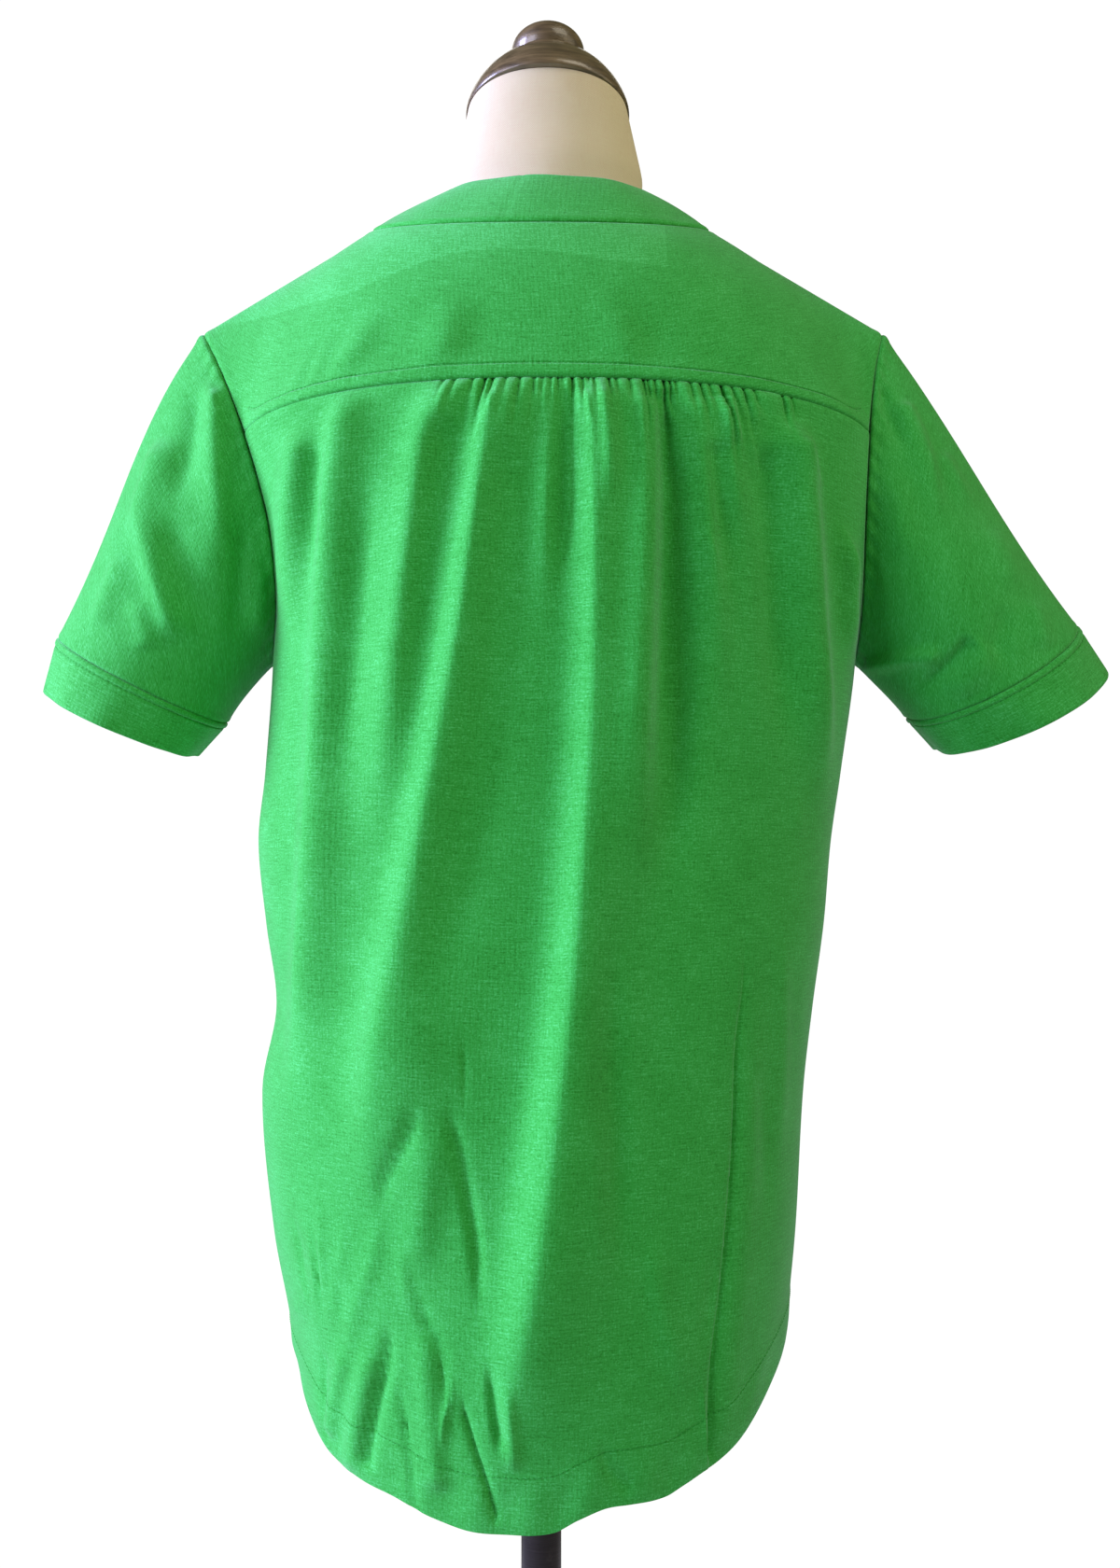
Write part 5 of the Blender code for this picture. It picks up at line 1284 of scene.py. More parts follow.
@dataclass
class FrontPanel:
    """One front, from the yoke's forward seam and the neckband down to the hem."""

    room: Workroom
    side: int
    yoke: Yoke
    folds: tuple[Fold, ...]
    columns: int = 96
    rows_upper: int = 60
    rows_lower: int = 84
    neck_steps: int = 7
    yoke_steps: int = 6
    grid: Array = field(init=False)       # the smooth surface, which the placket follows
    hem: Array = field(init=False)        # the hem's height at each column

    def name(self) -> str:
        """left or right."""
        return "left" if self.side > 0 else "right"

    def tops(self, at: Array) -> Array:
        """Points along the front's top edge; at counts the steps of its two parts from the armhole."""
        seam = self.yoke.side_edge(self.side, np.clip(1 - at / self.yoke_steps, 0, 1))
        share = np.clip((at - self.yoke_steps) / self.neck_steps, 0, 1)
        neck = NECK_SEAM.at(-(-FORWARD_SEAM_ANGLE + (NECK_STOP + FORWARD_SEAM_ANGLE) * share))
        neck[:, 0] *= self.side
        return np.where((at <= self.yoke_steps)[:, None], seam, neck)

    def surface(self) -> Array:
        """The front's smooth surface, from its top edge down, armhole or side seam first."""
        last = self.yoke_steps + self.neck_steps
        at = np.linspace(0, last, self.columns + 1)
        part = at / last
        share = 0.55 * part + 0.45 * (1 - (1 - part) ** 1.6)
        top = self.tops(at)
        waist = quarter(self.side, UNDERARM, False, share, PLACKET_HALF)
        gap = np.linalg.norm(top - waist, axis=1)
        slope = np.radians(52 - 30 * ease(part))
        leave = stack(0 * slope, -np.sin(slope), -np.cos(slope)) * (gap * 1.05)[:, None]
        arrive = stack(0 * slope, 0 * slope, -1 + 0 * slope) * (gap * 0.9)[:, None]
        rows = []
        for t in graded(0.0, 1.0, 0.5, 1.0, self.rows_upper):
            line = hermite(top, waist, leave, arrive, t)
            height = FRONT_CORNER * (1 - t)
            miss = armhole(self.side, np.array([height]), False)[0] - line[0]
            line = line + miss * ((1 - part) ** 3)[:, None]
            line[-1, 0] = self.side * PLACKET_HALF
            rows.append(line)
        corner = HEM_LEFT if self.side > 0 else HEM_RIGHT
        foot = quarter(self.side, corner, False, share, PLACKET_HALF)
        width = abs(float(quarter(self.side, corner, False, 0.0)[..., 0]))
        rise = np.minimum(np.abs(foot[:, 0]) / width, 1) ** FRONT_HEM_ROUNDNESS
        self.hem = HEM_FRONT + (corner - HEM_FRONT) * rise
        for t in (*np.linspace(0, 0.90, self.rows_lower - 20)[1:], *np.linspace(0.90, 1.0, 21)[1:]):
            rows.append(quarter(self.side, UNDERARM + (self.hem - UNDERARM) * t, False, share, PLACKET_HALF))
        return np.stack(rows)

    def build(self) -> None:
        """Make the front."""
        points = self.surface()
        self.grid = points
        shell = ClothShell(f"front_{self.name()}_cloth", points, middle=(0.0, 1.2))
        x, z = points[..., 0], points[..., 2]
        across, from_top = runs(points, 1), runs(points)
        from_placket = across[:, -1:] - across
        inside, near_placket = ease(across / 0.02), ease(from_placket / 0.02)
        lift = lift_of(self.folds, x, z) * inside * near_placket * ease(from_top / 0.02)
        lift += sum(through(*EDGE_GROOVE, run) for run in (across, from_top, from_placket))
        above_hem = z - self.hem[None, :]
        lift += through((0.0, 0.002, *STITCHED_HEM), (0.0, 0.0003, *STITCHED_LIFT), above_hem)
        lift += 0.0008 * np.sin(x * 190 + 2.0) * bell(above_hem, 0.012, 0.012) * near_placket * inside
        piece = shell.build(lift, {"edge": above_hem})
        settle(piece, hemmed(f"jersey_front_{self.name()}"), (f"front_{self.name()}",))
        row = int(np.argmin(np.abs(above_hem[:, self.columns // 2] - HEM_STITCH)))
        sewn = self.room.sew(f"front_{self.name()}_hem_stitches", [row_on(shell, row)])


FRONT_FOLDS_LEFT = (
    Fold(((78, 1190), (88, 1050), (92, 900), (94, 740)), 20, 17, 8),
    Fold(((126, 1110), (132, 960), (126, 800), (122, 720)), 14, 14, 5.4),
    Fold(((48, 1160), (56, 1020), (60, 900)), 13, 15, -3.6),
    Fold(((108, 1100), (110, 980), (108, 860)), 9, 10, -3.4),
    Fold(((34, 1010), (40, 880), (46, 720), (46, 690)), 15, 15, 4, 0.3, 0),
    Fold(((150, 1130), (128, 1150), (104, 1160)), 6, 7, 2.2),
    Fold(((146, 1112), (124, 1128), (100, 1134)), 5, 6, -2),
    Fold(((62, 1290), (66, 1240), (70, 1200)), 14, 14, 2.2),
    Fold(((96, 1318), (104, 1260), (106, 1200)), 12, 12, 2.6),
    Fold(((118, 1300), (126, 1250), (128, 1200)), 9, 10, -2.2),
    Fold(((72, 800), (60, 750), (62, 700)), 6, 7, -2.4, 0.3, 0.1),
    Fold(((110, 790), (114, 740), (106, 700)), 3.4, 5, -2, 0.3, 0.1, crest=SHARP),
)
FRONT_FOLDS_RIGHT = (
    Fold(((-82, 1180), (-86, 1060), (-94, 900), (-100, 720)), 18, 21, 7.5),
    Fold(((-138, 1130), (-141, 1000), (-136, 860), (-132, 780)), 14, 14, 5.2),
    Fold(((-52, 1140), (-56, 1000), (-64, 860)), 14, 13, -3.4),
    Fold(((-114, 1120), (-116, 990), (-116, 880)), 10, 10, -3.6),
    Fold(((-36, 960), (-44, 840), (-50, 720), (-50, 690)), 15, 16, 4.4, 0.3, 0),
    Fold(((-172, 1120), (-148, 1146), (-120, 1158)), 7, 6, 2.4),
    Fold(((-168, 1102), (-144, 1124), (-116, 1132)), 6, 5, -2),
    Fold(((-70, 1300), (-76, 1250), (-80, 1200)), 15, 15, 2.2),
    Fold(((-108, 1318), (-118, 1260), (-122, 1200)), 12, 13, 2.8),
    Fold(((-136, 1290), (-148, 1240), (-150, 1190)), 10, 10, -2.4),
    Fold(((-110, 1020), (-104, 900), (-90, 720), (-88, 690)), 10, 3, 2.2, 0.3, 0, crest=SHARP),
    Fold(((-66, 780), (-70, 740), (-62, 700)), 5, 6, -2.2, 0.3, 0.1),
)


# ---------- sleeves


SLEEVE_FOLDS_LEFT = (
    Fold(((199, 1314), (197, 1283), (194, 1255), (190, 1221), (188, 1188)), 9, 8, 6.7, 0.15, 0.5),
    Fold(((208, 1311), (210, 1283), (214, 1255), (216, 1221)), 8, 8, -3.8, 0.2, 0.5),
    Fold(((230, 1280), (236, 1249), (240, 1227), (231, 1199), (222, 1171),
         (213, 1146)), 7, 12, 6.1, 0.15, 0.15),
    Fold(((224, 1232), (212, 1193), (199, 1154)), 11, 12, -4.1, 0.3, 0.3),
    Fold(((251, 1205), (260, 1177), (266, 1157)), 5, 9, 3.2, 0.3, 0.2),
    Fold(((177, 1232), (177, 1188), (183, 1149)), 8, 8, -4.3, 0.3, 0.3),
    Fold(((169, 1205), (170, 1171), (173, 1149)), 6, 6, 3.2, 0.3, 0.3),
    Fold(((240, 1177), (235, 1160), (231, 1143)), 7, 9, 2.3, 0.3, 0.2),
)
SLEEVE_FOLDS_LEFT_FRONT = (
    Fold(((210, 1300), (212, 1240), (208, 1180)), 11, 12, 3.6),
    Fold(((238, 1270), (240, 1220), (234, 1160)), 12, 12, -3.4),
    Fold(((190, 1230), (195, 1180), (198, 1140)), 8, 9, -2.8),
    Fold(((260, 1210), (265, 1180), (264, 1150)), 10, 10, 2.8),
)
SLEEVE_FOLDS_RIGHT = (
    Fold(((-207, 1308), (-213, 1286), (-220, 1260)), 4.5, 4.5, -3.5, 0.1, 0.5),
    Fold(((-219, 1300), (-228, 1274), (-234, 1246), (-237, 1216)), 9, 6, 4.9, 0.1, 0.5),
    Fold(((-242, 1269), (-251, 1249), (-263, 1227)), 7, 6, 2.9, 0.2, 0.5),
    Fold(((-268, 1221), (-278, 1199), (-286, 1177)), 11, 10, 2.9),
    Fold(((-210, 1255), (-214, 1221), (-221, 1188)), 9, 9, 2.6),
    Fold(((-255, 1151), (-242, 1135), (-227, 1120)), 4, 5, -4.6, 0.1, 0.3),
    Fold(((-268, 1149), (-257, 1131), (-243, 1115)), 8, 8, 3.2, 0.2, 0.3),
    Fold(((-238, 1141), (-216, 1140), (-192, 1135)), 5, 5, 4.1, 0.1, 0.3),
    Fold(((-279, 1172), (-272, 1152), (-267, 1131)), 8, 8, -2.6, 0.3, 0.3),
    Fold(((-295, 1177), (-298, 1159), (-300, 1143)), 7, 8, 2.6, 0.3, 0.3),
)
SLEEVE_FOLDS_RIGHT_FRONT = (
    Fold(((-215, 1290), (-220, 1230), (-225, 1170)), 11, 12, 3.6),
    Fold(((-245, 1270), (-255, 1220), (-262, 1170)), 12, 12, -3.2),
    Fold(((-196, 1150), (-220, 1148), (-245, 1142)), 7, 7, -2.8, 0.1, 0.4),
    Fold(((-280, 1230), (-290, 1200), (-298, 1170)), 11, 11, 2.8),
)


@dataclass
class Sleeve:
    """A short set-in sleeve and its turned cuff."""

    room: Workroom
    name: str
    side: int
    seam_outer: tuple[float, float]
    seam_inner: tuple[float, float]
    edge_outer: tuple[float, float]
    edge_inner: tuple[float, float]
    start_slope: float
    end_slope: float
    back_sag: float
    folds: tuple[Fold, ...]
    front_folds: tuple[Fold, ...]
    columns: int = 176
    rows: int = 84
    cuff_steps: tuple[float, ...] = (0.0, 0.0006, 0.0014, 0.0026, 0.0036, 0.0045, 0.0054, 0.0066, 0.0090,
                                     0.0130, 0.0170, 0.0210, 0.0245, 0.0270)

    def ring(self, outer: tuple[float, float], inner: tuple[float, float], degrees: Array) -> Array:
        """Points of a cuff ring: -90 is under the arm, 0 the back, 90 the outer top."""
        angle = np.radians(degrees)[..., None]
        top = np.array([self.side * outer[0], 0.0, outer[1]])
        low = np.array([self.side * inner[0], 0.0, inner[1]])
        back = np.cos(angle)
        sag = -self.back_sag * np.maximum(back, 0)
        return ((top + low) / 2 + (top - low) / 2 * np.sin(angle)
                + np.concatenate([0 * back, CUFF_DEPTH_HALF * back, sag], axis=-1))

    def heading(self, degrees: float) -> Array:
        """The sleeve's direction at a slope below level."""
        return np.array([self.side * math.cos(math.radians(degrees)), 0, -math.sin(math.radians(degrees))])

    def loop(self) -> tuple[Array, Array]:
        """The armhole's points from under the arm up the back and down the front, and their cuff angles."""
        part = np.linspace(0, 1, 1500) ** 1.6
        back, front = armhole(self.side, part, True), armhole(self.side, part[::-1], False)
        half = self.columns // 2
        points = np.concatenate([evenly(back, half + 1), evenly(front, half + 1)[1:-1]])
        return points, -90 + 360 * np.arange(self.columns) / self.columns

    def build(self) -> None:
        """Make the sleeve and its cuff."""
        start, angles = self.loop()
        end = self.ring(self.seam_outer, self.seam_inner, angles)
        reach = np.linalg.norm(end - start, axis=1)[:, None]
        spread = stack(0 * angles, SLEEVE_SPREAD * np.cos(np.radians(angles)), 0 * angles)
        leave = (self.heading(self.start_slope) + spread) * reach
        arrive = self.heading(self.end_slope) * reach
        down = np.concatenate([graded(0, 0.15, 0.5, 2.0, 16)[:-1],
                               np.linspace(0.15, 0.94, self.rows - 26)[:-1],
                               graded(0.94, 1.0, 1.5, 0.6, 10)])
        points = np.stack([hermite(start, end, leave, arrive, t) for t in down])
        shell = ClothShell(f"sleeve_{self.name}_cloth", points, wrap=True)
        x, z = points[..., 0], points[..., 2]
        facing = shell.normals[..., 1]
        length = down[:, None] * reach[:, 0][None, :]
        left = (1 - down)[:, None] * reach[:, 0][None, :]
        lift = lift_of(self.folds, x, z) * ease(facing / 0.5)
        lift += lift_of(self.front_folds, x, z) * ease(-facing / 0.5)
        lift *= ease(length / 0.012) * ease(left / 0.010)
        lift += through((0.0, 0.0010, 0.003, 0.008), (-0.0012, 0.0004, 0.0009, 0.0), length)
        lift += through((0.0, 0.0008, 0.002, 0.005), (-0.0010, -0.0002, 0.0002, 0.0), left)
        lift += 0.0005 * np.sin(np.radians(angles) * 37)[None, :] * bell(length, 0.006, 0.006)
        piece = shell.build(lift)
        settle(piece, self.room.jersey, (f"sleeve_{self.name}",))
        self.cuff(angles)

    def cuff(self, angles: Array) -> None:
        """Make the cuff: a folded band with a stitch row below its seam."""
        seam = self.ring(self.seam_outer, self.seam_inner, angles)
        edge = self.ring(self.edge_outer, self.edge_inner, angles)
        width = np.linalg.norm(edge - seam, axis=1)
        middle = float(width.mean())
        steps = np.array([s for s in self.cuff_steps if s < middle - 0.003]
                         + [middle - 0.0018, middle - 0.0006, middle])
        t = (steps / middle)[:, None, None]
        points = seam * (1 - t) + edge * t
        shell = ClothShell(f"cuff_{self.name}_cloth", points, wrap=True, thickness=FOLDED)
        run = steps[:, None]
        lift = through((0.0, 0.0006, 0.0014, 0.0026, 0.0036, CUFF_STITCH, 0.0054, 0.0066),
                       (-0.0010, 0.0002, 0.0007, 0.0008, 0.0006, 0.0000, 0.0004, 0.0005), run)
        lift = lift + through((0.0, 0.0006, 0.0018), (-0.0006, -0.0001, 0.0), middle - run)
        turn = np.radians(angles)[None, :]
        wave = 0.0006 * np.sin(turn * 5 + 0.6) + 0.0004 * np.sin(turn * 11 + 2.0)
        lift = lift + wave * ease(run / middle)
        lift = lift + 0.00018 * np.sin(turn * 61) * bell(run, 0.004, 0.004)
        piece = shell.build(lift, {"edge": np.broadcast_to(run, lift.shape)})
        finish = JerseyFinish(f"jersey_cuff_{self.name}", stitched=(CUFF_STITCH,), stitch_sink_and_shade=0.6)
        settle(piece, finish.make(), (f"cuff_{self.name}",))
        row = int(np.argmin(np.abs(steps - CUFF_STITCH)))
        sewn = self.room.sew(f"cuff_{self.name}_stitches", [row_on(shell, row)])


# ---------- neckband and placket


@dataclass
class Neckband:
    """The stand round the neck, a folded strip sewn to the neck seam."""

    room: Workroom
    back_columns: int = 150
    front_columns: int = 56
    steps: tuple[float, ...] = (0.0, 0.015, 0.04, 0.08, 0.15, 0.25, 0.38, 0.52, 0.66, 0.78, 0.87, 0.93, 0.965,
                                0.985, 1.0)
    swell: float = 0.002
    join_angle: float = 78.0              # of the seam across the band, in degrees round the neck
    grid: Array = field(init=False)       # the smooth surface, which the placket follows

    def build(self) -> None:
        """Make the band."""
        half = np.linspace(-NECK_STOP, FORWARD_SEAM_ANGLE, self.front_columns + 1)[:-1]
        back = np.linspace(FORWARD_SEAM_ANGLE, 180 - FORWARD_SEAM_ANGLE, self.back_columns + 1)
        degrees = np.concatenate([half, back, (180 - half)[::-1]])
        seam, top = NECK_SEAM.at(degrees), BAND_EDGE.at(degrees)
        for line in (seam, top):
            line[0, 0], line[-1, 0] = PLACKET_HALF, -PLACKET_HALF
        v = np.asarray(self.steps)[:, None, None]
        points = top * (1 - v) + seam * v + np.array([0, 0, self.swell]) * 4 * v * (1 - v)
        self.grid = points
        shell = ClothShell("neckband_cloth", points, middle=(0.0, 1.30), thickness=FOLDED)
        if float(shell.normals[..., 2].mean()) < 0:
            shell.normals, shell.flip = -shell.normals, not shell.flip
        width = np.linalg.norm(seam - top, axis=1)[None, :]
        from_seam, from_top = (1 - v[..., 0]) * width, v[..., 0] * width
        lift = through((0.0, 0.0008, 0.002, 0.005), (-0.0020, -0.0004, 0.0006, 0.0002), from_seam)
        lift = lift + through((0.0, 0.0008, 0.0025), (-0.0005, 0.0, 0.0), from_top)
        angle = np.radians(degrees)[None, :]
        lift = lift + 0.0003 * np.sin(angle * 9 + 1.0) * ease(from_seam / 0.01)
        join = (degrees[None, :] - self.join_angle) * math.radians(1) * 0.09
        lift = lift - 0.0004 * bell(join, 0.0, 0.0012)
        piece = shell.build(lift, {"seam": from_seam})
        settle(piece, JerseyFinish("jersey_neckband", seam_shade=True).make(), ("neckband",))


SIDEWAYS = np.array([1.0, 0, 0])


@dataclass
class Placket:
    """Button band, buttonhole band over it, seven buttons and their sewing."""

    room: Workroom
    band: Neckband
    front: FrontPanel
    rows: int = 190
    button_count: int = 7
    button_top: float = 1.3300
    button_pitch: float = 0.0870
    button_radius: float = 0.00575
    button_height: float = 0.0026
    button_gap: float = 0.0005            # between the band and the button's underside
    dish: float = 0.0007                  # depth of the button's middle under its rim
    hole_place: float = 0.00135           # of the four holes, from the button's middle lines
    hole_radius: float = 0.00072
    buttonhole_half: float = 0.0085
    bar_place: float = 0.0088             # of the bars that close a buttonhole, from its middle

    def middle(self) -> Array:
        """Points down the middle of the front, from the top of the neckband to the hem."""
        line = np.concatenate([self.band.grid[:-1, 0], self.front.grid[:, -1]])
        line[:, 0] = 0.0
        keep = np.concatenate([[True], np.diff(runs(line)) > 1e-6])
        return evenly(line[keep], self.rows)

    def outward(self, line: Array) -> Array:
        """Directions away from the body along the middle line."""
        along = unit(np.gradient(line, axis=0))
        out = np.stack([np.zeros(len(line)), along[:, 2], -along[:, 1]], axis=1)
        out = np.where((out[:, 1] < 0)[:, None], out, -out)
        kernel = np.ones(7) / 7
        padded = np.pad(out, ((3, 3), (0, 0)), mode="edge")
        return unit(np.stack([np.convolve(padded[:, k], kernel, "valid") for k in range(3)], axis=1))

    def strip(self, node: str, left: float, right: float, raised: float) -> None:
        """One straight band down the front."""
        line = self.middle()
        out = self.outward(line)
        width = left - right
        steps = np.array([0.0, 0.0005, 0.0012, BAND_STITCH, 0.0028, 0.005, 0.009])
        across = np.concatenate([steps, [width / 2], width - steps[::-1]])
        base = line + out * raised
        points = np.stack([base + np.array([right + a, 0, 0]) for a in across], axis=1)
        shell = ClothShell(node + "_cloth", points, middle=(0.0, 2.0))
        shell.normals = np.broadcast_to(out[:, None, :], points.shape).copy()
        near = np.minimum(across, width - across)[None, :]
        lift = through((0.0, 0.0005, 0.0012, BAND_STITCH, 0.0028, 0.005),
                       (-0.0005, 0.0, 0.0001, -0.0002, 0.0001, 0.0002), near) + np.zeros((len(points), 1))
        run = np.linspace(0, 1, len(points))[:, None]
        lift = lift + 0.00025 * np.sin(run * 150) * ease(near / 0.004)
        piece = shell.build(lift, {"edge": np.broadcast_to(near, lift.shape)})
        finish = JerseyFinish("jersey_" + node, stitched=(BAND_STITCH,))
        settle(piece, finish.make(), (node,))
        row = int(np.argmin(np.abs(steps - BAND_STITCH)))
        lines = [column_on(shell, row), column_on(shell, len(across) - 1 - row)]
        sewn = self.room.sew(node + "_stitches", lines)

    def button_mesh(self) -> bpy.types.Mesh:
        """A flat button with a raised rim and four holes, about its own Z axis."""
        r, h = self.button_radius, self.button_height
        profile = [(0.0, h - self.dish), (r * 0.62, h - self.dish), (r * 0.72, h - 0.0004),
                   (r * 0.80, h - 0.0001), (r * 0.88, h), (r * 0.95, h - 0.0003), (r, h * 0.6),
                   (r * 0.97, h * 0.3), (r * 0.86, 0.0), (0.0, 0.0)]
        tool = bmesh.new()
        ring = [tool.verts.new((a, 0.0, b)) for a, b in profile]
        edges = [tool.edges.new(pair) for pair in zip(ring, ring[1:])]
        bmesh.ops.spin(tool, geom=ring + edges, cent=(0, 0, 0), axis=(0, 0, 1), angle=2 * math.pi, steps=32)
        bmesh.ops.remove_doubles(tool, verts=tool.verts, dist=1e-6)
        bmesh.ops.recalc_face_normals(tool, faces=tool.faces)
        mesh = bpy.data.meshes.new("button_blank")
        tool.to_mesh(mesh)
        tool.free()
        blank = add_object("button_blank", mesh)
        drills, at, radius = bmesh.new(), self.hole_place, self.hole_radius
        for sx in (-1, 1):
            for sy in (-1, 1):
                made = bmesh.ops.create_cone(drills, cap_ends=True, segments=12, radius1=radius,
                                             radius2=radius, depth=0.01)
                bmesh.ops.translate(drills, verts=made["verts"], vec=(sx * at, sy * at, 0.001))
        drill_mesh = bpy.data.meshes.new("drill")
        drills.to_mesh(drill_mesh)
        drills.free()
        drill = add_object("drill", drill_mesh)
        holes = blank.modifiers.new("holes", "BOOLEAN")
        holes.operation, holes.object, holes.solver = "DIFFERENCE", drill, "EXACT"
        done = evaluated_mesh(blank)
        for old in (blank, drill):
            bpy.data.objects.remove(old, do_unlink=True)
        smooth(done, 35)
        return done

    def place(self, line: Array, number: int) -> tuple[Array, int, Array]:
        """A button's place on a raised middle line, the row beside it, and the way down the line there."""
        height = self.button_top - number * self.button_pitch
        k = int(np.argmin(np.abs(line[:, 2] - height)))
        low, high = max(k - 1, 0), min(k + 1, len(line) - 1)
        t = (line[low, 2] - height) / max(line[low, 2] - line[high, 2], 1e-9)
        return line[low] + (line[high] - line[low]) * t, k, unit(line[high] - line[low])

    def tie(self, spot: Array, face: Array, down: Array) -> list[tuple[Array, Array]]:
        """The two strands that run through a button's holes."""
        top = spot + face * (self.button_gap + self.button_height - self.dish)
        bow = np.linspace(0, 1, 9)[:, None]
        strands = []
        for sx in (-1, 1):
            a, b = (top + SIDEWAYS * sx * self.hole_place + down * s * self.hole_place for s in (-1, 1))
            strand = a * (1 - bow) + b * bow + face * (0.0005 * np.sin(np.pi * bow) - 0.0002)
            strands.append((strand, np.repeat(face[None], 9, axis=0)))
        return strands

    def buttonhole(self, spot: Array, face: Array, down: Array) -> list[tuple[Array, Array]]:
        """The two long edges of a buttonhole, and the bars at its ends."""
        slot = np.linspace(-self.buttonhole_half, self.buttonhole_half, 40)[:, None]
        bar = np.linspace(-0.0013, 0.0013, 10)[:, None]
        edges = [spot + down * slot + SIDEWAYS * sx * 0.0007 + face * 0.0003 for sx in (-1, 1)]
        bars = [spot + down * end * self.bar_place + SIDEWAYS * bar + face * 0.0003 for end in (-1, 1)]
        return [(line, np.repeat(face[None], len(line), axis=0)) for line in edges + bars]

    def build(self) -> None:
        """Make both bands, the buttons, their thread and the buttonholes."""
        self.strip("placket_under", PLACKET_HALF - PLACKET_GAP, -PLACKET_HALF + PLACKET_GAP, 0.0)
        self.strip("placket_over", PLACKET_HALF - PLACKET_GAP, -PLACKET_HALF - PLACKET_LAP, LAYER_LIFT)
        blank = self.button_mesh()
        finish = ButtonFinish("dyed_button").make()
        line = self.middle()
        out = self.outward(line)
        holes, ties = [], []
        for number in range(self.button_count):
            spot, k, down = self.place(line + out * LAYER_LIFT, number)
            face = out[k]
            turn = Vector(face).to_track_quat("Z", "Y").to_matrix().to_4x4()
            mesh = blank.copy()
            mesh.transform(turn)
            mesh.transform(turn.Translation(Vector(spot + face * self.button_gap)))
            made = add_object(f"button_{number + 1}_face", mesh)
            settle(made, finish, (f"button_{number + 1}",))
            ties += self.tie(spot, face, down)
            holes += self.buttonhole(spot, face, down)
        self.room.sew("button_threads", ties, pitch=0.00045, length=0.0007, width=0.0006, height=0.0005)
        self.room.sew("buttonhole_threads", holes, pitch=0.00042, length=0.0004, width=0.0014, height=0.0004)


# ---------- form and stand


class FormRow(NamedTuple):
    """A ring of the form: half-width, then place and height at its sides, back and front."""

    half_width: float
    side_y: float
    side_z: float
    back_y: float
    back_z: float
    front_y: float
    front_z: float
    roundness: float = 2.15
    shift: float = 0.0


# the level rings under the arms: height, half-width, back and front
FORM_LEVELS = (
    (1.2200, 0.1480, 0.1015, -0.1150),
    (1.1700, 0.1480, 0.1010, -0.1240),
    (1.1200, 0.1430, 0.0970, -0.1160),
    (1.0500, 0.1290, 0.0890, -0.0990),
    (0.9900, 0.1210, 0.0860, -0.0930),
    (0.9200, 0.1350, 0.0980, -0.0960),
    (0.8500, 0.1520, 0.1130, -0.1030),
    (0.8000, 0.1500, 0.1120, -0.1050),
    (0.7700, 0.1430, 0.1060, -0.1000),
)


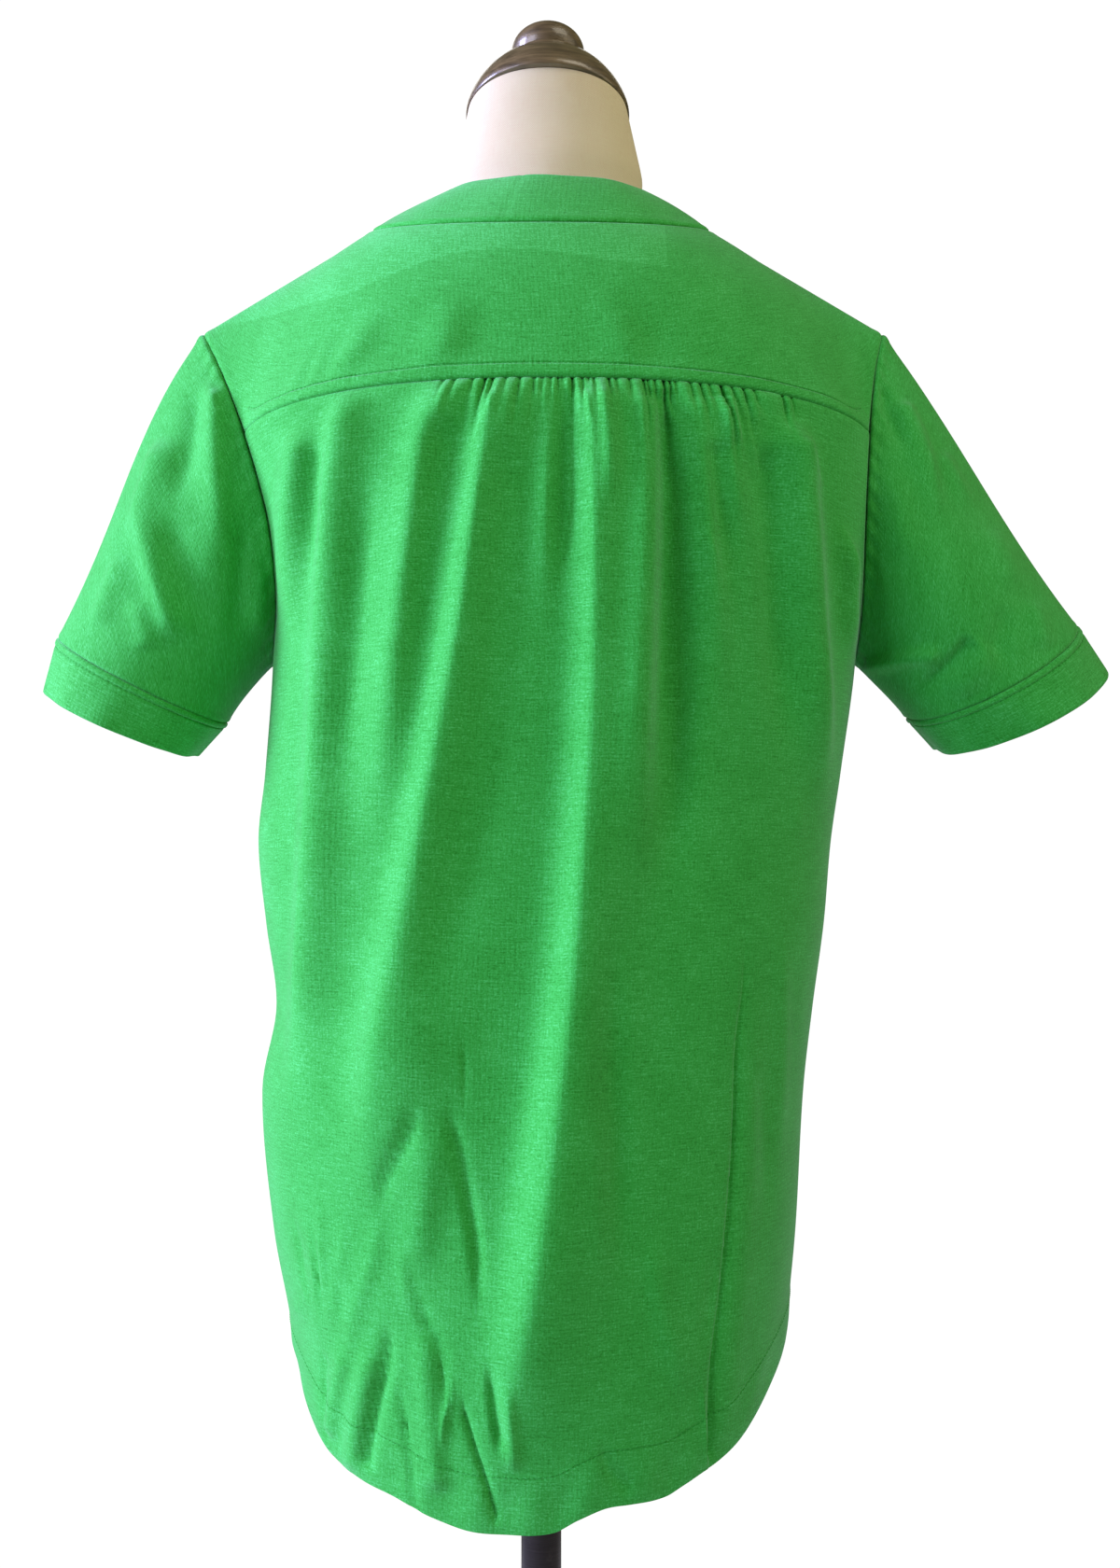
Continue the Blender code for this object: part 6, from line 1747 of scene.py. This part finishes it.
@dataclass
class DressForm:
    """The form's torso and neck, covered in linen."""

    columns: int = 144
    between: int = 5                # rings of the mesh for each ring that rows() gives
    rest: float = 0.0048            # how far the shoulders lie under the cloth's outer face

    def shoulder(self, share: float, lower: float, back: tuple, front: tuple) -> FormRow:
        """A ring just under the cloth of the shoulder line."""
        def crest(t: float) -> Array:
            inner, outer = NECK_SEAM.at(np.array([0.0]))[0], armhole(1, np.array([1.0]), True)[0]
            return inner * (1 - t) + outer * t
        beyond = crest(min(share + 1 / 6, 1)) - crest(max(share - 1 / 6, 0))
        out = unit(np.array([-beyond[2], 0, beyond[0]]))
        spot = crest(share) - out * (self.rest + lower)
        return FormRow(spot[0], spot[1], spot[2], *back, *front, 1.45)

    def rows(self) -> list[FormRow]:
        """The rings from the neck's top plane down."""
        lean, deep, top = math.tan(math.radians(NECK_TILT)), 0.0450, NECK_TOP[2]
        return [
            FormRow(0.0500, 0, top, deep, top + deep * lean, -deep, top - deep * lean, shift=-0.004),
            FormRow(0.0552, 0.001, 1.4560, 0.0455, 1.4640, -0.0460, 1.4320, shift=-0.0042),
            FormRow(0.0590, 0.004, 1.4400, 0.0480, 1.4440, -0.0460, 1.4070, 2.0, -0.0038),
            FormRow(0.0606, 0.009, 1.4250, 0.0500, 1.4240, -0.0470, 1.3870, 1.8, -0.0034),
            FormRow(0.0790, 0.012, 1.4130, 0.0600, 1.4030, -0.0520, 1.3680, 1.55, -0.0010),
            self.shoulder(0.0, 0.000, (0.0700, 1.3850), (-0.0560, 1.3550)),
            self.shoulder(2 / 6, 0.000, (0.0820, 1.3600), (-0.0620, 1.3420)),
            self.shoulder(3 / 6, 0.002, (0.0880, 1.3400), (-0.0680, 1.3300)),
            self.shoulder(4 / 6, 0.005, (0.0920, 1.3210), (-0.0730, 1.3140)),
            FormRow(0.1700, 0.000, 1.3200, 0.0950, 1.2960, -0.0800, 1.2900, 1.65),
            FormRow(0.1530, 0.000, 1.2750, 0.0990, 1.2650, -0.0950, 1.2600, 1.90),
            *(FormRow(half, 0.000, z, back, z, front, z) for z, half, back, front in FORM_LEVELS),
        ]

    def ring(self, row: FormRow) -> Array:
        """Points of one ring."""
        angle = 2 * np.pi * np.arange(self.columns) / self.columns
        c, s = np.cos(angle), np.sin(angle)
        power = 2 / row.roundness
        far_y = np.where(s >= 0, row.back_y, row.front_y)
        far_z = np.where(s >= 0, row.back_z, row.front_z)
        reach = np.abs(s) ** power
        return stack(row.shift + row.half_width * np.sign(c) * np.abs(c) ** power,
                     row.side_y + (far_y - row.side_y) * reach, row.side_z + (far_z - row.side_z) * reach)

    def build(self) -> None:
        """Make the covered form as one closed mesh."""
        rings = np.stack([self.ring(row) for row in self.rows()])
        count = len(rings)
        at = np.linspace(0, count - 1, (count - 1) * self.between + 1)
        fine = through(range(count), rings.reshape(count, -1), at).reshape(len(at), self.columns, 3)
        places = np.arange(len(at) * self.columns).reshape(len(at), self.columns)
        faces = ring_faces(places) + [places[0].tolist(), places[-1][::-1].tolist()]
        mesh = bpy.data.meshes.new("form_torso_linen")
        mesh.from_pydata(fine.reshape(-1, 3).tolist(), [], faces)
        closed = np.concatenate([fine, fine[:, :1]], axis=1)
        u, v = runs(closed, 1), runs(closed)
        layer = mesh.uv_layers.new(name="cut")
        spots = np.arange(u.size).reshape(u.shape)
        corner = np.stack([spots[:-1, :-1], spots[1:, :-1], spots[1:, 1:], spots[:-1, 1:]], axis=-1).ravel()
        flat = np.stack([u.ravel()[corner], v.ravel()[corner]], axis=1)
        ends = np.concatenate([fine[0][:, :2], fine[-1][::-1][:, :2]])
        layer.data.foreach_set("uv", np.concatenate([flat, ends]).astype(np.float32).ravel())
        tool = bmesh.new()
        tool.from_mesh(mesh)
        bmesh.ops.recalc_face_normals(tool, faces=tool.faces)
        tool.to_mesh(mesh)
        tool.free()
        smooth(mesh, 50)
        made = add_object("form_torso_linen", mesh)
        settle(made, LinenFinish("ecru_linen_weave").make(), ("form_torso",))


@dataclass
class Stand:
    """Turned wooden neck cap and finial, and the steel pole and round base."""

    gap: float = 0.0003             # between the neck, the cap and the finial
    cap_radius: float = 0.0510
    cap_height: float = 0.0360
    ball_radius: float = 0.0232

    def turned(self, name: str, profile: Sequence[tuple[float, float]], segments: int = 96,
               seat: Sequence[float] = (0, 0, 0), tilt: float = 0.0) -> bpy.types.Object:
        """A solid turned from a profile that runs down its outer side, with its place in its mesh."""
        radii, heights = (np.asarray(values, float) for values in zip(*profile))
        angle = 2 * np.pi * np.arange(segments) / segments
        body = np.stack([stack(r * np.cos(angle), r * np.sin(angle), np.full(segments, h))
                         for r, h in zip(radii, heights) if r > 0])
        points = np.concatenate([body.reshape(-1, 3), [[0, 0, heights[0]], [0, 0, heights[-1]]]])
        lean = math.radians(tilt)
        c, s = math.cos(lean), math.sin(lean)
        turn = np.array([[1, 0, 0], [0, c, -s], [0, s, c]])
        points = points @ turn.T + np.asarray(seat)
        places = np.arange(body.shape[0] * segments).reshape(body.shape[0], segments)
        far = np.roll(places, -1, axis=1)
        faces = ring_faces(places)
        top, low = len(points) - 2, len(points) - 1
        faces += [[top, int(a), int(b)] for a, b in zip(places[0], far[0])]
        faces += [[low, int(b), int(a)] for a, b in zip(places[-1], far[-1])]
        mesh = bpy.data.meshes.new(name)
        mesh.from_pydata(points.tolist(), [], faces)
        smooth(mesh, 38)
        return add_object(name, mesh)

    def build(self) -> None:
        """Make the four turned pieces."""
        wood, metal = WoodFinish("varnished_dark_wood").make(), MetalFinish("dark_steel").make()
        lean = math.radians(NECK_TILT)
        axis = np.array([0, -math.sin(lean), math.cos(lean)])
        seat = np.asarray(NECK_TOP) + axis * self.gap
        h = self.cap_height
        cap = [(0, h), (0.0235, h), (0.0247, h - 0.0004), (0.0255, h - 0.0012), (0.0280, h - 0.0018),
               (0.0310, 0.0330), (0.0345, 0.0303), (0.0385, 0.0270), (0.0430, 0.0212), (0.0470, 0.0145),
               (0.0495, 0.0090), (0.0507, 0.0050), (self.cap_radius, 0.0036), (self.cap_radius, 0.0012),
               (0.0504, 0.0003), (0.0496, 0.0), (0, 0)]
        made = self.turned("neck_cap_wood", cap, seat=seat, tilt=NECK_TILT)
        settle(made, wood, ("neck_cap",))
        ball = [(0.0, 0.0310)]
        for i in range(1, 25):
            angle = math.radians(90 - i * 5)
            ball.append((self.ball_radius * math.cos(angle), 0.0150 + 0.0160 * math.sin(angle)))
        ball += [(0.0228, 0.0062), (0.0240, 0.0056), (0.0243, 0.0046), (0.0243, 0.0010), (0.0238, 0.0),
                 (0.0, 0.0)]
        seat = np.asarray(NECK_TOP) + axis * (h + 2 * self.gap)
        made = self.turned("finial_wood", ball, seat=seat, tilt=NECK_TILT)
        settle(made, wood, ("finial",))
        pole = [(0, 0.7697), (0.0120, 0.7697), (0.0125, 0.7692), (0.0125, 0.0310), (0.0121, 0.0303),
                (0, 0.0303)]
        settle(self.turned("pole_steel", pole, 64), metal, ("pole",))
        base = [(0, 0.028), (0.0290, 0.028), (0.0300, 0.0275), (0.0330, 0.0245), (0.0360, 0.0220),
                (0.0600, 0.0188), (0.0900, 0.0160), (0.1200, 0.0139), (0.1500, 0.0120), (0.1650, 0.0104),
                (0.1690, 0.0085), (0.1700, 0.0065), (0.1700, 0.0008), (0.1692, 0.0), (0, 0)]
        settle(self.turned("base_steel", base), metal, ("base",))


# ---------- studio


class Lamp(NamedTuple):
    """A soft rectangular lamp."""

    name: str
    place: tuple[float, float, float]
    aim: tuple[float, float, float]
    size: tuple[float, float]
    power: float
    colour: Colour

    def build(self) -> None:
        """Make the lamp."""
        data = bpy.data.lights.new(self.name, "AREA")
        data.shape, data.size, data.size_y = "RECTANGLE", *self.size
        data.energy, data.color = self.power, self.colour
        lamp = add_object(self.name, data)
        lamp.location = self.place
        lamp.rotation_euler = (Vector(self.aim) - Vector(self.place)).to_track_quat("-Z", "Y").to_euler()


LAMPS = (
    Lamp("window", (2.5, 0.40, 1.70), (0.0, 0.04, 1.05), (0.9, 1.5), 166.0, (0.63, 0.63, 1.04)),
    Lamp("room", (-2.1, 0.9, 1.4), (0.0, 0.0, 1.05), (1.6, 2.0), 14.0, (1.0, 0.86, 0.62)),
    Lamp("window_near", (1.6, 1.5, 1.65), (0.0, 0.0, 1.10), (0.9, 1.3), 25.0, (0.86, 0.84, 1.05)),
    Lamp("ceiling", (-0.7, 0.7, 2.4), (0.0, 0.0, 1.40), (0.8, 0.8), 8.5, (1.0, 0.90, 0.72)),
    Lamp("front_room", (0.4, -2.2, 1.9), (0.0, 0.0, 1.0), (2.2, 1.8), 18.0, (1.0, 0.97, 0.93)),
)


@dataclass
class Studio:
    """Floor, soft light from the wearer's left, and the camera behind the form."""

    camera_place: tuple[float, float, float] = (-0.0117, 1.05, 1.065)
    sensor: float = 36.0
    lens: float = 36.0 * 1800 / 1680
    floor_radius: float = 1.15
    floor_sides: int = 96
    floor_drop: float = 0.0002      # the floor lies this much under the foot
    ambient: float = 0.13
    backdrop: float = 1.05          # how bright the white is that the camera sees behind the part

    def floor(self) -> None:
        """A pale round floor."""
        mesh = bpy.data.meshes.new("floor")
        ring = [(self.floor_radius * math.cos(a), self.floor_radius * math.sin(a), -self.floor_drop)
                for a in np.linspace(0, 2 * math.pi, self.floor_sides + 1)[:-1]]
        mesh.from_pydata(ring, [], [list(range(self.floor_sides))])
        floor = add_object("floor", mesh)
        g = Graph("pale_floor")
        colour = g.mix(g.noise(g.spot(), 30.0, 3.0), (0.80, 0.80, 0.80), (0.84, 0.84, 0.83))
        mesh.materials.append(g.finish({"Roughness": 0.9}, {"Base Color": colour}))

    def sky(self) -> None:
        """A weak warm light from all sides, which the camera sees as white."""
        world = bpy.data.worlds.new("pale_room")
        bpy.context.scene.world = world
        world.use_nodes = True
        tree = world.node_tree
        ground, white = tree.nodes["Background"], tree.nodes.new("ShaderNodeBackground")
        for node, colour, strength in ((ground, (1.0, 0.93, 0.50, 1.0), self.ambient),
                                       (white, (1.0, 1.0, 1.0, 1.0), self.backdrop)):
            node.inputs[0].default_value, node.inputs[1].default_value = colour, strength
        seen, mixed = tree.nodes.new("ShaderNodeLightPath"), tree.nodes.new("ShaderNodeMixShader")
        for i, source in enumerate((seen.outputs["Is Camera Ray"], ground.outputs[0], white.outputs[0])):
            tree.links.new(source, mixed.inputs[i])
        tree.links.new(mixed.outputs[0], tree.nodes["World Output"].inputs[0])

    def camera(self) -> None:
        """The camera, level behind the form."""
        data = bpy.data.cameras.new("camera")
        data.sensor_fit, data.sensor_height, data.lens = "VERTICAL", self.sensor, self.lens
        data.clip_start = 0.05
        camera = add_object("camera", data)
        camera.location = self.camera_place
        camera.rotation_euler = (math.radians(90), 0, math.radians(180))
        bpy.context.scene.camera = camera
        bpy.context.scene.view_settings.view_transform = "Standard"

    def build(self) -> None:
        """Set up the floor, the lamps, the sky and the camera."""
        self.floor()
        for lamp in LAMPS:
            lamp.build()
        self.sky()
        self.camera()


# ---------- making


def main() -> None:
    """Build every part of the top, its form and the studio, in order."""
    logging.basicConfig(level=logging.INFO, format="%(name)s: %(message)s")
    Studio().build()
    room = Workroom(StitchMaker(), JerseyFinish("jersey_plain").make(), ThreadFinish("green_thread").make())
    yoke = Yoke(room)
    DressForm().build()
    Stand().build()
    yoke.build()
    BackPanel(room).build()
    left = FrontPanel(room, 1, yoke, FRONT_FOLDS_LEFT)
    left.build()
    FrontPanel(room, -1, yoke, FRONT_FOLDS_RIGHT).build()
    Sleeve(room, "left", 1, seam_outer=(0.2995, 1.157), seam_inner=(0.197, 1.103),
           edge_outer=(0.3075, 1.1235), edge_inner=(0.216, 1.0820), start_slope=51.0, end_slope=62.0,
           back_sag=0.003, folds=SLEEVE_FOLDS_LEFT, front_folds=SLEEVE_FOLDS_LEFT_FRONT).build()
    Sleeve(room, "right", -1, seam_outer=(0.3330, 1.165), seam_inner=(0.229, 1.106),
           edge_outer=(0.3510, 1.137), edge_inner=(0.2470, 1.0860), start_slope=52.0, end_slope=52.0,
           back_sag=0.012, folds=SLEEVE_FOLDS_RIGHT, front_folds=SLEEVE_FOLDS_RIGHT_FRONT).build()
    band = Neckband(room)
    band.build()
    Placket(room, band, left).build()


if __name__ == "__main__":
    main()
